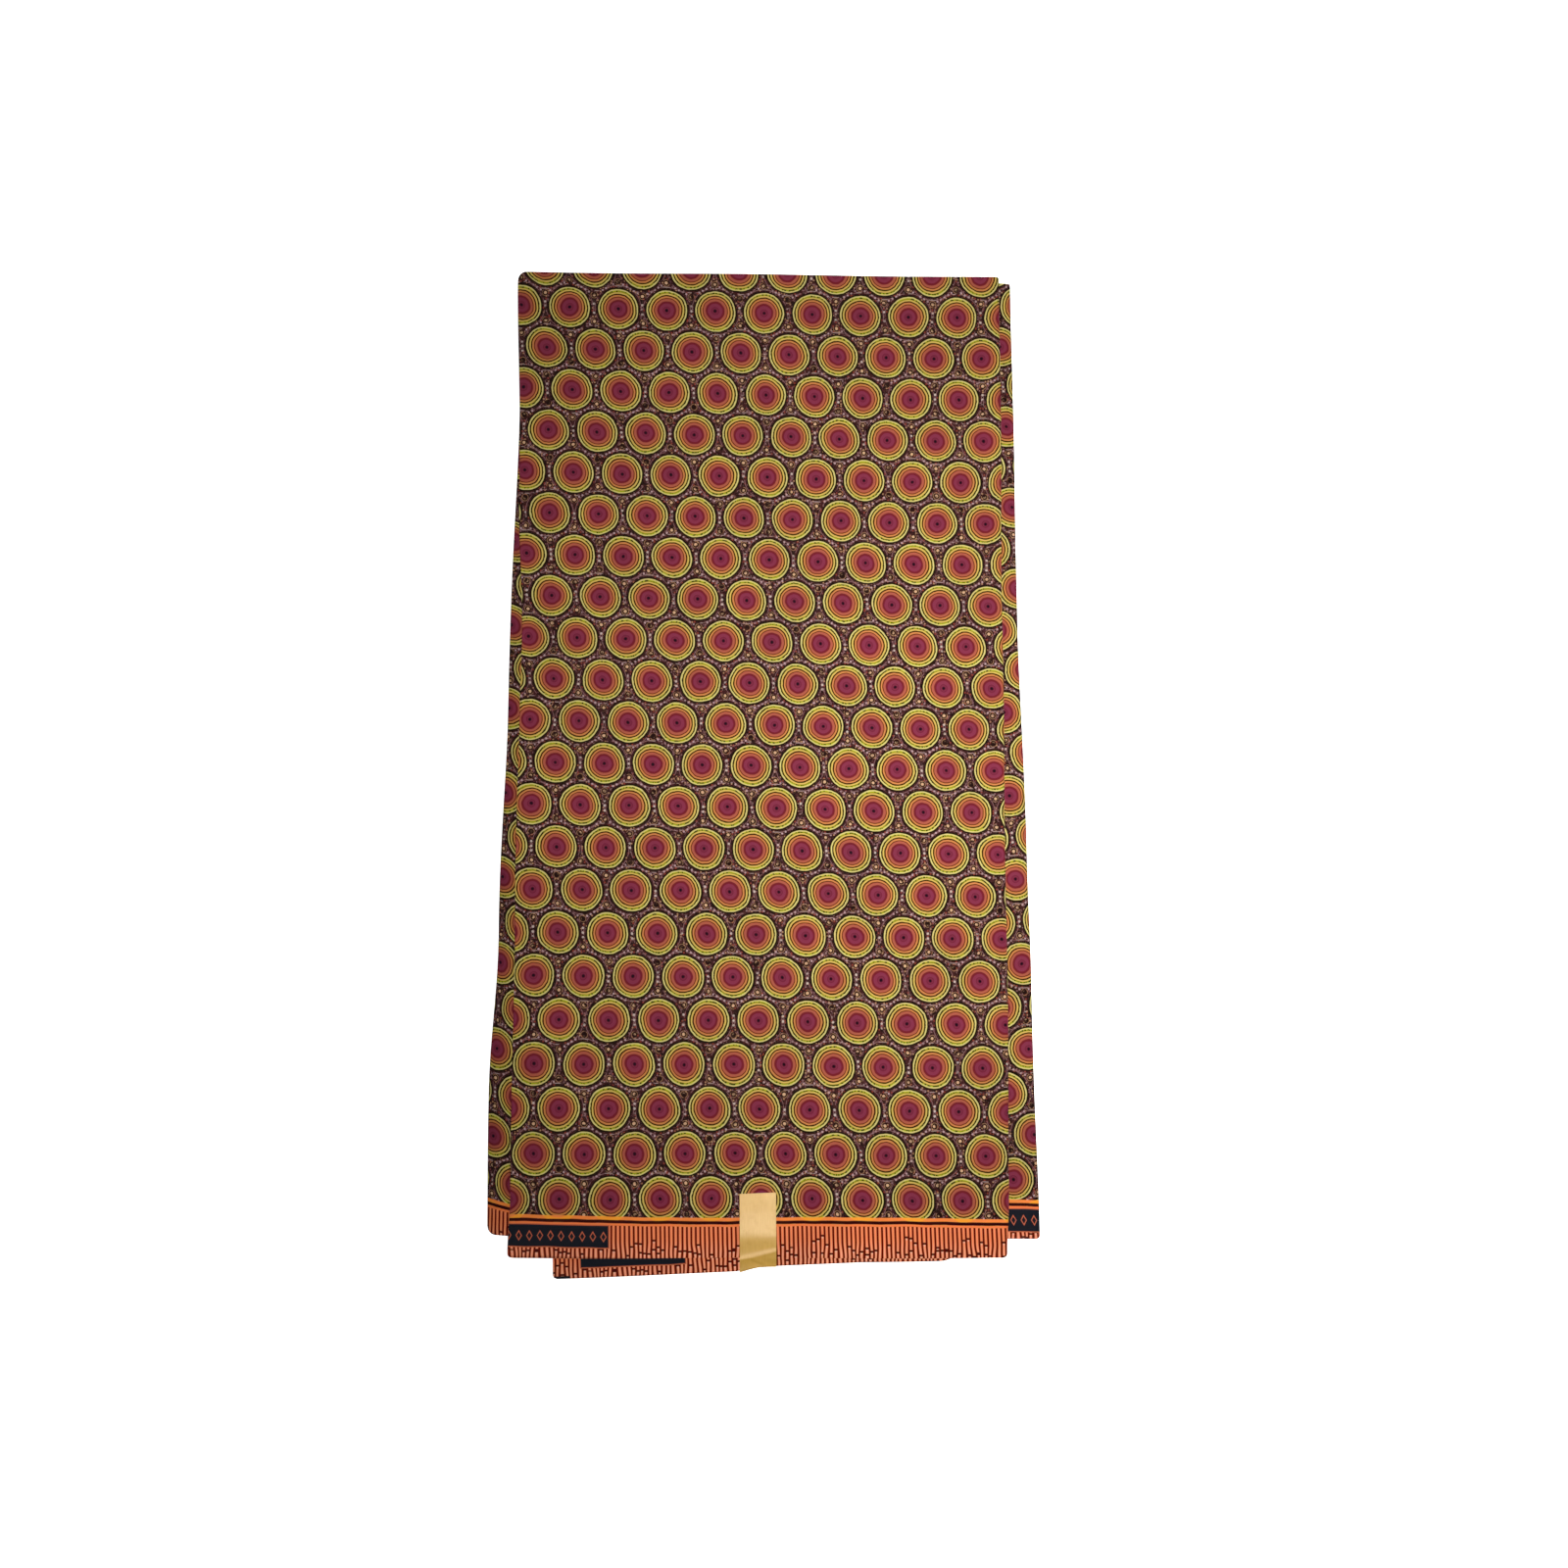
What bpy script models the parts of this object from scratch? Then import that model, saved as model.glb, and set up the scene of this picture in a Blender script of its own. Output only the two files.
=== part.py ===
"""Folded length of African wax print cotton, lying flat, in metres with +Z up.

The cloth is folded in half across its width, so each panel is two leaves thick,
and then zigzag along its length into a flat pack. The crosswise fold of every
panel is at +Y, the striped selvedges are at -Y, and the origin is at the middle
of the pack's footprint, on the surface that it rests on.
"""

import math
from collections import namedtuple

import bmesh
import bpy
from mathutils import Vector

# Driving sizes

WALL = 0.0010            # thickness of one cloth wall
GAP = 0.0003             # air between two walls
PITCH = WALL + GAP       # one wall and its air
FOLD_RADIUS = 0.0013     # outer radius of a folded edge
FOLD_DROP = WALL + PITCH     # how far a folded edge reaches down
CORE_HEIGHT = 0.0111     # height of all the hidden panels

# Heights of the upper faces, counted up from the resting surface

BOTTOM_TOP = WALL
CORE_BASE = BOTTOM_TOP + GAP
CORE_TOP = CORE_BASE + CORE_HEIGHT
THIRD_TOP = CORE_TOP + PITCH
SECOND_TOP = THIRD_TOP + PITCH
BACK_TOP = SECOND_TOP + PITCH
FRONT_TOP = BACK_TOP + PITCH

# The pack is a little thicker at its crosswise folds than at the selvedges

WEDGE = 0.18             # share of the height gained for each metre toward the folds

# Soft cloth is never dead flat or dead straight: slow waves run through the pack

SWELL = 0.010            # share of the height that the waves raise or lower
DRIFT = 0.00025          # how far the waves move an edge sideways
WAVE_LENGTH = 0.17
WAVE_TURN = 1.9          # radians by which the waves of the two directions differ

# The top panel sticks out past the ones below it and sags there

OVERHANG_START = -0.2745     # past this line the top panel has nothing under it
OVERHANG_SAG = 3.6       # sag in metres for each square metre of overhang

# The side folds of the second and third panels reach past the pack and droop there

DROOP_SLOPE = 0.75       # steepest slope of the drooping cloth
DROOP_SOFTNESS = 0.006   # distance over which it bends down

# Panel outlines: x of both sides at each height y

Station = namedtuple("Station", "y left right")

FRONT_OUTLINE = (
    Station(0.2961, -0.1479, 0.1424),
    Station(0.1630, -0.1455, 0.1420),
    Station(0.0800, -0.1430, 0.1418),
    Station(0.0270, -0.1438, 0.1417),
    Station(-0.0850, -0.1447, 0.1416),
    Station(-0.1840, -0.1453, 0.1419),
    Station(-0.2850, -0.1469, 0.1403),
)
BACK_OUTLINE = (
    Station(0.2948, -0.1465, 0.1410),
    Station(0.0270, -0.1340, 0.1402),
    Station(-0.2961, -0.1208, 0.1389),
)
SECOND_OUTLINE = (
    Station(0.2938, -0.1440, 0.1392),
    Station(0.2165, -0.1466, 0.1390),
    Station(0.0330, -0.1512, 0.1388),
    Station(-0.1600, -0.1568, 0.1386),
    Station(-0.2724, -0.1590, 0.1380),
)
THIRD_OUTLINE = (
    Station(0.2922, -0.1416, 0.1479),
    Station(0.0350, -0.1486, 0.1517),
    Station(-0.1600, -0.1543, 0.1566),
    Station(-0.2680, -0.1563, 0.1590),
)
BOTTOM_OUTLINE = (
    Station(0.2915, -0.1425, 0.1425),
    Station(0.0300, -0.1425, 0.1464),
    Station(-0.2720, -0.1458, 0.1538),
)
SUPPORT_OUTLINE = (
    Station(0.2961, -0.1478, 0.1430),
    Station(0.0270, -0.1434, 0.1470),
    Station(-0.2850, -0.1466, 0.1545),
)

# Hidden panels. Each is doubled, and zigzag folds join them in pairs at the sides

CORE_OUTLINE = (
    Station(0.2904, -0.1420, 0.1422),
    Station(0.0350, -0.1422, 0.1462),
    Station(-0.2700, -0.1455, 0.1535),
)
HIDDEN_PANELS = 14
FOLD_BULGE = 0.0011      # how far the rounding of a side fold draws in
LOOP_BULGE = 0.0005      # the same for the crosswise fold of one panel
HEM_STEP = 0.0003        # the same for the two selvedges of one panel
UNEVEN_FOLD = 0.0022     # most that one side fold lies behind another
UNEVEN_LOOP = 0.0014
UNEVEN_HEM = 0.0042
UNEVEN_TURN = 2.4        # radians from one fold to the next in the uneven series
CORE_SEAM = 0.00008      # height of the line between two hidden panels
CORE_CORNER = 0.006
CORE_SIDE_STEPS = 8
CORE_END_STEPS = 5
CORE_CORNER_STEPS = 3
CORE_LEVELS = (0.0, 0.3, 0.7, 1.0)   # heights within one hidden panel

# Foil label on the bottom edge of the top panel

LABEL_LEFT = -0.0138
LABEL_WIDTH = 0.0210
LABEL_TOP = -0.2501
LABEL_THICKNESS = 0.0004
LABEL_TUCK = 0.0095      # length that turns under the back leaf
LABEL_STEP = 0.0004      # clearance to the edges that it passes

# Grid lines of a panel near its edges: distance from the edge

FREE_EDGE = (0.0, 0.0010, 0.0030, 0.0080)
HEM_EDGE = (0.0, 0.0010, 0.0030, 0.0080, 0.0150, 0.0240)
FOLD_EDGE_FLAT = (0.0045, 0.0090)
DROOPING_FREE_EDGE = (0.0, 0.0010, 0.0030, 0.0055, 0.0080, 0.0105, 0.0130)
DROOPING_FOLD_FLAT = (0.0040, 0.0065, 0.0090, 0.0115, 0.0140, 0.0170)
SLANT_REACH = 0.05       # how far up a panel the slant of its bottom edge is felt
PANEL_STEPS_ACROSS = 7
PANEL_STEPS_ALONG = 12

Colour = namedtuple("Colour", "name red green blue roughness metallic")

PRINT = Colour("wax_print_cotton", 0.23, 0.08, 0.05, 0.75, 0.0)
SELVEDGE = Colour("wax_print_inner_leaves", 0.30, 0.10, 0.05, 0.80, 0.0)
FOIL = Colour("gold_foil", 0.72, 0.53, 0.20, 0.30, 0.9)


def clear_scene():
    """Remove the objects that a new file starts with."""
    for obj in list(bpy.data.objects):
        bpy.data.objects.remove(obj)


def material(colour):
    """Return the Principled material of one colour row, made once."""
    found = bpy.data.materials.get(colour.name)
    if found:
        return found
    made = bpy.data.materials.new(colour.name)
    made.use_nodes = True
    shader = made.node_tree.nodes["Principled BSDF"]
    shader.inputs["Base Color"].default_value = (colour.red, colour.green, colour.blue, 1.0)
    shader.inputs["Roughness"].default_value = colour.roughness
    shader.inputs["Metallic"].default_value = colour.metallic
    return made


def finish(name, bm, colour):
    """Turn a bmesh into a named, smooth shaded object in the scene."""
    bmesh.ops.remove_doubles(bm, verts=bm.verts, dist=0.00001)
    bmesh.ops.recalc_face_normals(bm, faces=bm.faces)
    mesh = bpy.data.meshes.new(name)
    bm.to_mesh(mesh)
    bm.free()
    mesh.materials.append(material(colour))
    mesh.shade_smooth()
    mesh.set_sharp_from_angle(angle=math.radians(35))
    obj = bpy.data.objects.new(name, mesh)
    bpy.context.scene.collection.objects.link(obj)
    return obj


def blend(rows, y, column):
    """Read one column of an outline at y, eased between its rows."""
    if y >= rows[0].y:
        return getattr(rows[0], column)
    for above, below in zip(rows, rows[1:]):
        if y >= below.y:
            share = (above.y - y) / (above.y - below.y)
            share = share * share * (3.0 - 2.0 * share)
            start = getattr(above, column)
            return start + (getattr(below, column) - start) * share
    return getattr(rows[-1], column)


def settled(point):
    """Where a point of the straight pack lies once the cloth has settled."""
    x, y, z = point
    along = 2.0 * math.pi * y / WAVE_LENGTH
    across = 2.0 * math.pi * x / WAVE_LENGTH + WAVE_TURN
    height = z * (1.0 + WEDGE * y + SWELL * math.sin(across) * math.cos(along))
    past = max(0.0, OVERHANG_START - y)
    beside = max(0.0, blend(SUPPORT_OUTLINE, y, "left") - x, x - blend(SUPPORT_OUTLINE, y, "right"))
    droop = DROOP_SLOPE * (math.hypot(beside, DROOP_SOFTNESS) - DROOP_SOFTNESS)
    return Vector((x + DRIFT * math.sin(along), y + DRIFT * math.sin(across),
                   height - OVERHANG_SAG * past * past - droop))


def fold_profile(flat_lines):
    """Distance from the edge and drop of each grid line on a folded edge."""
    lines = [(0.0, FOLD_DROP), (0.0, FOLD_RADIUS)]
    for degrees in (30, 60, 90):
        angle = math.radians(degrees)
        inset = FOLD_RADIUS * (1.0 - math.cos(angle))
        drop = FOLD_RADIUS * (1.0 - math.sin(angle))
        lines.append((inset, drop))
    lines += [(distance, 0.0) for distance in flat_lines]
    return lines


def free_profile(distances):
    """Distance from the edge and drop of each grid line on a cut edge."""
    return [(distance, 0.0) for distance in distances]


def grid_lines(first, last, length, steps):
    """Grid lines from one edge to the other: distance from the first, drop."""
    start, stop = first[-1][0], length - last[-1][0]
    middle = [(start + (stop - start) * step / steps, 0.0) for step in range(1, steps)]
    return first + middle + [(length - distance, drop) for distance, drop in reversed(last)]


def round_corner(across, along, radius):
    """Distances from two edges after the corner between them is rounded."""
    if radius <= 0.0 or across >= radius or along >= radius:
        return across, along
    p, q = 1.0 - across / radius, 1.0 - along / radius
    return (radius * (1.0 - p * math.sqrt(1.0 - q * q / 2.0)),
            radius * (1.0 - q * math.sqrt(1.0 - p * p / 2.0)))


def edge_lines(side, folds, drooping):
    """Grid lines next to one side of a panel, closer together where it droops."""
    if side in folds:
        return fold_profile(DROOPING_FOLD_FLAT if side in drooping else FOLD_EDGE_FLAT)
    return free_profile(DROOPING_FREE_EDGE if side in drooping else FREE_EDGE)


def panel(name, outline, upper, folds, corners, colour, slant=0.0, drooping=()):
    """One cloth wall: a grid between the outline's sides, folded down at its folds.

    folds names the folded sides out of left, right and top. corners gives the
    radii at top left, top right, bottom right and bottom left. slant is how much
    higher the bottom edge is at the right side than at the left one. drooping names
    the sides that reach past the pack.
    """
    top, bottom = outline[0].y, outline[-1].y
    length = top - bottom
    width = outline[-1].right - outline[-1].left
    edges = {side: edge_lines(side, folds, drooping) for side in ("left", "right", "top")}
    along = grid_lines(edges["top"], free_profile(HEM_EDGE), length, PANEL_STEPS_ALONG)
    across = grid_lines(edges["left"], edges["right"], width, PANEL_STEPS_ACROSS)
    bm = bmesh.new()
    bmesh.ops.create_grid(bm, x_segments=len(across) - 1, y_segments=len(along) - 1, size=0.5)
    bm.verts.ensure_lookup_table()
    columns = len(across)
    for vert in bm.verts:
        row, column = divmod(vert.index, columns)
        from_top, drop_along = along[row]
        from_left, drop_across = across[column]
        from_right = width - from_left
        from_bottom = length - from_top
        near_left = from_left < from_right
        near_top = from_top < from_bottom
        if near_top:
            radius = corners[0] if near_left else corners[1]
        else:
            radius = corners[3] if near_left else corners[2]
        side, end = round_corner(min(from_left, from_right), min(from_top, from_bottom), radius)
        y = top - end if near_top else bottom + end
        left, right = blend(outline, y, "left"), blend(outline, y, "right")
        x = left + side if near_left else right - side
        share = (x - left) / (right - left)
        y += slant * share * max(0.0, 1.0 - from_bottom / SLANT_REACH)
        z = upper - max(drop_along, drop_across)
        vert.co = (x, y, z)
    bmesh.ops.remove_doubles(bm, verts=bm.verts, dist=0.00001)
    wall = bm.faces[:]
    bmesh.ops.recalc_face_normals(bm, faces=wall)
    if sum(face.normal.z for face in wall) < 0.0:
        bmesh.ops.reverse_faces(bm, faces=wall)
    bmesh.ops.solidify(bm, geom=wall, thickness=WALL)
    for vert in bm.verts:
        vert.co = settled(vert.co)
    return finish(name, bm, colour)


def uneven(number, most, start):
    """An irregular but fixed share of most for one fold out of a series."""
    return most * (0.5 + 0.5 * math.sin(start + UNEVEN_TURN * number))


def rounding(position, depth):
    """Draw-in of a rounded fold, where position runs from 0 to 1 up its height."""
    across = 2.0 * position - 1.0
    return depth * (1.0 - math.sqrt(max(0.0, 1.0 - across * across)))


def core_edges(panel_index, share):
    """Left, right, top and bottom of the core at one level of one hidden panel."""
    left_fold, left_share = divmod((panel_index + share) / 2.0, 1.0)
    right_fold, right_share = divmod((panel_index + share + 1.0) / 2.0, 1.0)
    if share == 1.0 and panel_index % 2 == 1:
        left_fold, left_share = left_fold - 1.0, 1.0
    if share == 1.0 and panel_index % 2 == 0:
        right_fold, right_share = right_fold - 1.0, 1.0
    left = uneven(left_fold, UNEVEN_FOLD, 0.4) + rounding(left_share, FOLD_BULGE)
    right = uneven(right_fold, UNEVEN_FOLD, 2.9) + rounding(right_share, FOLD_BULGE)
    top = uneven(panel_index, UNEVEN_LOOP, 1.3) + rounding(share, LOOP_BULGE)
    bottom = uneven(panel_index, UNEVEN_HEM, 4.1) + rounding(share, HEM_STEP)
    return left, right, CORE_OUTLINE[0].y - top, CORE_OUTLINE[-1].y + bottom


def steps_between(start, stop, steps):
    """Even steps from start to stop, without either end."""
    return [start + (stop - start) * step / steps for step in range(1, steps)]


def core_ring(panel_index, share):
    """Outline points of one core level, anticlockwise from the bottom left."""
    left_in, right_in, top, bottom = core_edges(panel_index, share)
    low, high = bottom + CORE_CORNER, top - CORE_CORNER

    def left(y):
        return blend(CORE_OUTLINE, y, "left") + left_in

    def right(y):
        return blend(CORE_OUTLINE, y, "right") - right_in

    def corner(x, y, start_degrees):
        turn = 90.0 / CORE_CORNER_STEPS
        angles = [math.radians(start_degrees + turn * step)
                  for step in range(CORE_CORNER_STEPS + 1)]
        return [(x + CORE_CORNER * math.cos(angle), y + CORE_CORNER * math.sin(angle))
                for angle in angles]

    bottom_left, bottom_right = left(low) + CORE_CORNER, right(low) - CORE_CORNER
    top_left, top_right = left(high) + CORE_CORNER, right(high) - CORE_CORNER
    points = corner(bottom_left, low, 180)
    points += [(x, bottom) for x in steps_between(bottom_left, bottom_right, CORE_END_STEPS)]
    points += corner(bottom_right, low, 270)
    points += [(right(y), y) for y in steps_between(low, high, CORE_SIDE_STEPS)]
    points += corner(top_right, high, 0)
    points += [(x, top) for x in steps_between(top_right, top_left, CORE_END_STEPS)]
    points += corner(top_left, high, 90)
    points += [(left(y), y) for y in steps_between(high, low, CORE_SIDE_STEPS)]
    return points


def folded_core():
    """The hidden panels as one body: a ring extruded up from level to level."""
    pitch = CORE_HEIGHT / HIDDEN_PANELS
    bm = bmesh.new()
    ring = []
    for index in range(HIDDEN_PANELS):
        for share in CORE_LEVELS:
            z = CORE_BASE + pitch * index + CORE_SEAM + (pitch - CORE_SEAM) * share
            points = core_ring(index, share)
            if not ring:
                ring = [bm.verts.new((x, y, z)) for x, y in points]
                bm.faces.new(ring)
                continue
            edges = [bm.edges.get(pair) for pair in zip(ring, ring[1:] + ring[:1])]
            made = set(bmesh.ops.extrude_edge_only(bm, edges=edges)["geom"])
            ring = [next(edge.other_vert(vert) for edge in vert.link_edges
                         if edge.other_vert(vert) in made) for vert in ring]
            for vert, (x, y) in zip(ring, points):
                vert.co = (x, y, z)
    bm.faces.new(ring)
    bmesh.ops.triangulate(bm, faces=[face for face in bm.faces if len(face.verts) > 4])
    for vert in bm.verts:
        vert.co = settled(vert.co)
    return finish("folded_core", bm, SELVEDGE)


def label_path():
    """Middle line of the label from its top end, as y and z in the label's plane."""
    half = LABEL_THICKNESS / 2.0
    front_edge, back_edge = FRONT_OUTLINE[-1].y, -0.2919
    on_front = FRONT_TOP + GAP + half
    on_back = BACK_TOP + GAP + half
    under = BACK_TOP - WALL - GAP - half
    outer = back_edge - LABEL_STEP - half
    return ((LABEL_TOP, on_front), (-0.2620, on_front), (-0.2740, on_front),
            (front_edge - LABEL_STEP, on_front), (front_edge - 0.0013, on_back + 0.0003),
            (front_edge - 0.0022, on_back), (outer + 0.0004, on_back), (outer, on_back - 0.0004),
            (outer, under + 0.0004), (outer + 0.0004, under), (outer + LABEL_TUCK, under))


def ribbon_section(path, thickness):
    """Closed outline round a path of (y, z) points, half the thickness each way."""
    points = [Vector(point) for point in path]
    above, below = [], []
    for index, point in enumerate(points):
        before = points[max(index - 1, 0)]
        after = points[min(index + 1, len(points) - 1)]
        back = (point - before).normalized() if index else (after - point).normalized()
        ahead = (after - point).normalized() if index < len(points) - 1 else back
        bisector = (back + ahead).normalized()
        normal = Vector((-bisector.y, bisector.x))
        reach = thickness / 2.0 / max(0.5, bisector.dot(back))
        above.append(point + normal * reach)
        below.append(point - normal * reach)
    return above + below[::-1]


def foil_label():
    """A thin strip that lies on both selvedges and turns under their edge."""
    bm = bmesh.new()
    section = ribbon_section(label_path(), LABEL_THICKNESS)
    end = bm.faces.new([bm.verts.new((LABEL_LEFT, y, z)) for y, z in section])
    made = bmesh.ops.extrude_face_region(bm, geom=[end], use_keep_orig=True)["geom"]
    moved = [item for item in made if isinstance(item, bmesh.types.BMVert)]
    bmesh.ops.translate(bm, verts=moved, vec=(LABEL_WIDTH, 0.0, 0.0))
    bmesh.ops.triangulate(bm, faces=[face for face in bm.faces if len(face.verts) > 4])
    for vert in bm.verts:
        vert.co = settled(vert.co)
    return finish("foil_label", bm, FOIL)


def main():
    clear_scene()
    panel("bottom_panel", BOTTOM_OUTLINE, BOTTOM_TOP, (), (0.004, 0.004, 0.004, 0.004), SELVEDGE)
    folded_core()
    panel("third_panel", THIRD_OUTLINE, THIRD_TOP, ("right", "top"),
          (0.0, 0.003, 0.003, 0.009), PRINT, slant=-0.0062, drooping=("left", "right"))
    panel("second_panel", SECOND_OUTLINE, SECOND_TOP, ("left", "top"),
          (0.003, 0.0, 0.003, 0.0065), PRINT, drooping=("left",))
    panel("back_leaf", BACK_OUTLINE, BACK_TOP, (), (0.003, 0.003, 0.003, 0.0015), PRINT,
          slant=0.0105)
    panel("front_leaf", FRONT_OUTLINE, FRONT_TOP, ("right", "top"),
          (0.005, 0.0025, 0.0025, 0.003), PRINT)
    foil_label()


main()
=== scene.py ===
# %% [markdown]
# A folded length of wax print cotton
#
# Wax print is sold as a flat pack: some five and a half metres of cotton, folded
# in half across its width and then zigzag along its length. This lesson dresses
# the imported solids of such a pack. Each stretch of cloth becomes a real thin
# sheet, bent round its folds, and the print is worked out from one rule.

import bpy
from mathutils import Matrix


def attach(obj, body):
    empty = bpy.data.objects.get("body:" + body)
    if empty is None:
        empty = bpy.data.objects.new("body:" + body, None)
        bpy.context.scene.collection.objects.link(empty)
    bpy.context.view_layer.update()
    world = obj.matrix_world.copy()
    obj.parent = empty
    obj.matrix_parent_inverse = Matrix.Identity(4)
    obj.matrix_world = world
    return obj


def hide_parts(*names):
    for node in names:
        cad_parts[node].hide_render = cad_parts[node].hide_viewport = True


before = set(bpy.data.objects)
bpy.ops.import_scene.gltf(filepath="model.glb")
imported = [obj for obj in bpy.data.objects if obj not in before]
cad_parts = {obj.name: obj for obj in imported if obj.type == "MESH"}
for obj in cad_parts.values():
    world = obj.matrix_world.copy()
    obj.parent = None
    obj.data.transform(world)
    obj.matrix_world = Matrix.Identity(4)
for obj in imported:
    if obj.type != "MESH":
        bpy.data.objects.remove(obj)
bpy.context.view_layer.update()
print("solids", sorted(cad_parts))

# %% Modules of Python and Blender
import math
from collections import namedtuple

import bmesh
import bpy
from mathutils import Matrix, Vector

# %% [markdown]
# How the cloth is folded
#
# The cloth is doubled, so every panel has two leaves, joined by a crosswise fold
# at +Y. At -Y both leaves end in a striped selvedge. Side folds join one panel to
# the next, by turns on the right and on the left. One could model each edge on
# its own, but then they never quite meet. Here one rule places any point of the
# whole doubled cloth, and each piece is a window on that one surface.

# %% Outlines of the panels
Station = namedtuple("Station", "y left right")

FRONT = (
    Station(0.2961, -0.1479, 0.1424),
    Station(0.1630, -0.1455, 0.1423),
    Station(0.0800, -0.1430, 0.1420),
    Station(0.0270, -0.1438, 0.1422),
    Station(-0.0850, -0.1447, 0.1424),
    Station(-0.1840, -0.1451, 0.1427),
    Station(-0.2500, -0.1452, 0.1423),
    Station(-0.2850, -0.1467, 0.1407),
)
BACK = (
    Station(0.2948, -0.1465, 0.1410),
    Station(0.0270, -0.1340, 0.1402),
    Station(-0.2961, -0.1208, 0.1389),
)
SECOND = (
    Station(0.2938, -0.1440, 0.1392),
    Station(0.2165, -0.1466, 0.1390),
    Station(0.0330, -0.1512, 0.1388),
    Station(-0.1000, -0.1549, 0.1387),
    Station(-0.1900, -0.1592, 0.1386),
    Station(-0.2732, -0.1591, 0.1380),
)
THIRD = (
    Station(0.2942, -0.1416, 0.1499),
    Station(0.0810, -0.1475, 0.1516),
    Station(-0.0570, -0.1512, 0.1560),
    Station(-0.1300, -0.1535, 0.1571),
    Station(-0.2700, -0.1563, 0.1602),
)
HIDDEN = (
    Station(0.2904, -0.1420, 0.1434),
    Station(0.0350, -0.1422, 0.1470),
    Station(-0.2700, -0.1455, 0.1545),
)
SUPPORT = (
    Station(0.2961, -0.1478, 0.1442),
    Station(0.0270, -0.1434, 0.1480),
    Station(-0.2850, -0.1466, 0.1555),
)


def mix(start, stop, share):
    """A value between two others."""
    return start + (stop - start) * share


def soft_share(share):
    """A share from 0 to 1 that starts and ends gently."""
    return share * share * (3.0 - 2.0 * share)


def eased(rows, y, column):
    """Read one column of an outline at y, eased between its rows."""
    if y >= rows[0].y:
        return getattr(rows[0], column)
    for above, below in zip(rows, rows[1:]):
        if y >= below.y:
            share = soft_share((above.y - y) / (above.y - below.y))
            return mix(getattr(above, column), getattr(below, column), share)
    return getattr(rows[-1], column)


print("front leaf is", round(1000 * (FRONT[0].right - FRONT[0].left), 1), "mm wide at the top")

# %% Heights of the panels
PANELS = 18
LEAF = 0.0003            # thickness of the cotton
HIDDEN_TOP = 0.0124      # height of everything below the third panel

Panel = namedtuple("Panel", "middle half")   # middle height, half the gap of its leaves

TOP_PANELS = (Panel(0.01676, 0.00066), Panel(0.0144, 0.0004), Panel(0.0132, 0.0003))


def panel_row(number):
    """Height of one panel and the spread of its two leaves, counted from the top."""
    if number <= len(TOP_PANELS):
        return TOP_PANELS[number - 1]
    step = HIDDEN_TOP / (PANELS - len(TOP_PANELS))
    return Panel(HIDDEN_TOP - step * (number - len(TOP_PANELS) - 0.5), step / 4.0)


print("lowest panel at", round(1000 * panel_row(PANELS).middle, 2), "mm")

# %% [markdown]
# Edges that are never quite even
#
# Nobody folds eighteen panels to the millimetre. Each hidden fold lies a little
# behind or before its neighbours and wanders along its length. Random numbers
# would do, but a sine with an odd step gives the same spread on every run and
# keeps the values in plain sight.

# %% Side folds, crosswise folds and selvedges
Corner = namedtuple("Corner", "top bottom")

CORNERS = {0: Corner(0.0060, 0.0025), 1: Corner(0.0010, 0.0022), 2: Corner(0.0030, 0.0050),
           3: Corner(0.0010, 0.0020)}
HIDDEN_CORNER = Corner(0.0020, 0.0020)
FOLD_TOPS = {0: 0.2967, 1: 0.2969, 2: 0.2936, 3: 0.2942}

Hems = namedtuple("Hems", "first second")    # y of the selvedge of either leaf

FOLD_HEMS = {0: Hems(-0.2856, -0.2976), 1: Hems(-0.2866, -0.2850), 2: Hems(-0.2720, -0.2732),
             3: Hems(-0.2764, -0.2700)}

EdgePoint = namedtuple("EdgePoint", "at y")

BACK_HEM = (            # the back leaf's hem, drawn up here and there, at eight places in x
    EdgePoint(-0.1208, -0.2976), EdgePoint(-0.0138, -0.2940), EdgePoint(-0.0050, -0.2914),
    EdgePoint(0.0060, -0.2911), EdgePoint(0.0576, -0.2887), EdgePoint(0.1060, -0.2882),
    EdgePoint(0.1085, -0.2866), EdgePoint(0.1389, -0.2850))

TOP_SPREAD = 0.0020      # how far the hidden folds and hems lie behind the foremost one
SIDE_SPREAD = 0.0022
HEM_SPREAD = 0.0046
ODD_STEP = 2.4           # from one fold of a series to the next, in radians

Wave = namedtuple("Wave", "size rate step")

WANDERS = (Wave(0.0005, 31.0, 1.7), Wave(0.0003, 73.0, 4.1))


def uneven(number, most, start):
    """A fixed but irregular share of most, for one fold out of a series."""
    return most * (0.5 + 0.5 * math.sin(start + ODD_STEP * number))


def wander(number, y):
    """How far one hidden side fold strays along its length."""
    return sum(wave.size * math.sin(wave.rate * y + wave.step * number) for wave in WANDERS)


def fold_top(number):
    """y of the crosswise fold where it meets one side fold."""
    return FOLD_TOPS.get(number, HIDDEN[0].y - uneven(number, TOP_SPREAD, 1.3))


def edge_y(points, at):
    """y of an edge that runs straight from point to point, at one place along it."""
    for left, right in zip(points, points[1:]):
        if at <= right.at:
            return mix(left.y, right.y, max(0.0, at - left.at) / (right.at - left.at))
    return points[-1].y


def fold_hems(number):
    """y of both selvedges where they meet one side fold."""
    found = FOLD_HEMS.get(number)
    if found:
        return found
    low = HIDDEN[-1].y
    return Hems(low + uneven(number, HEM_SPREAD, 4.1), low + uneven(number, HEM_SPREAD, 0.9))


def rounded(distance, radius):
    """Draw-in of an edge near a rounded corner."""
    if distance >= radius:
        return 0.0
    reach = 1.0 - max(0.0, distance) / radius
    return radius * (1.0 - math.sqrt(1.0 - reach * reach))


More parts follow.
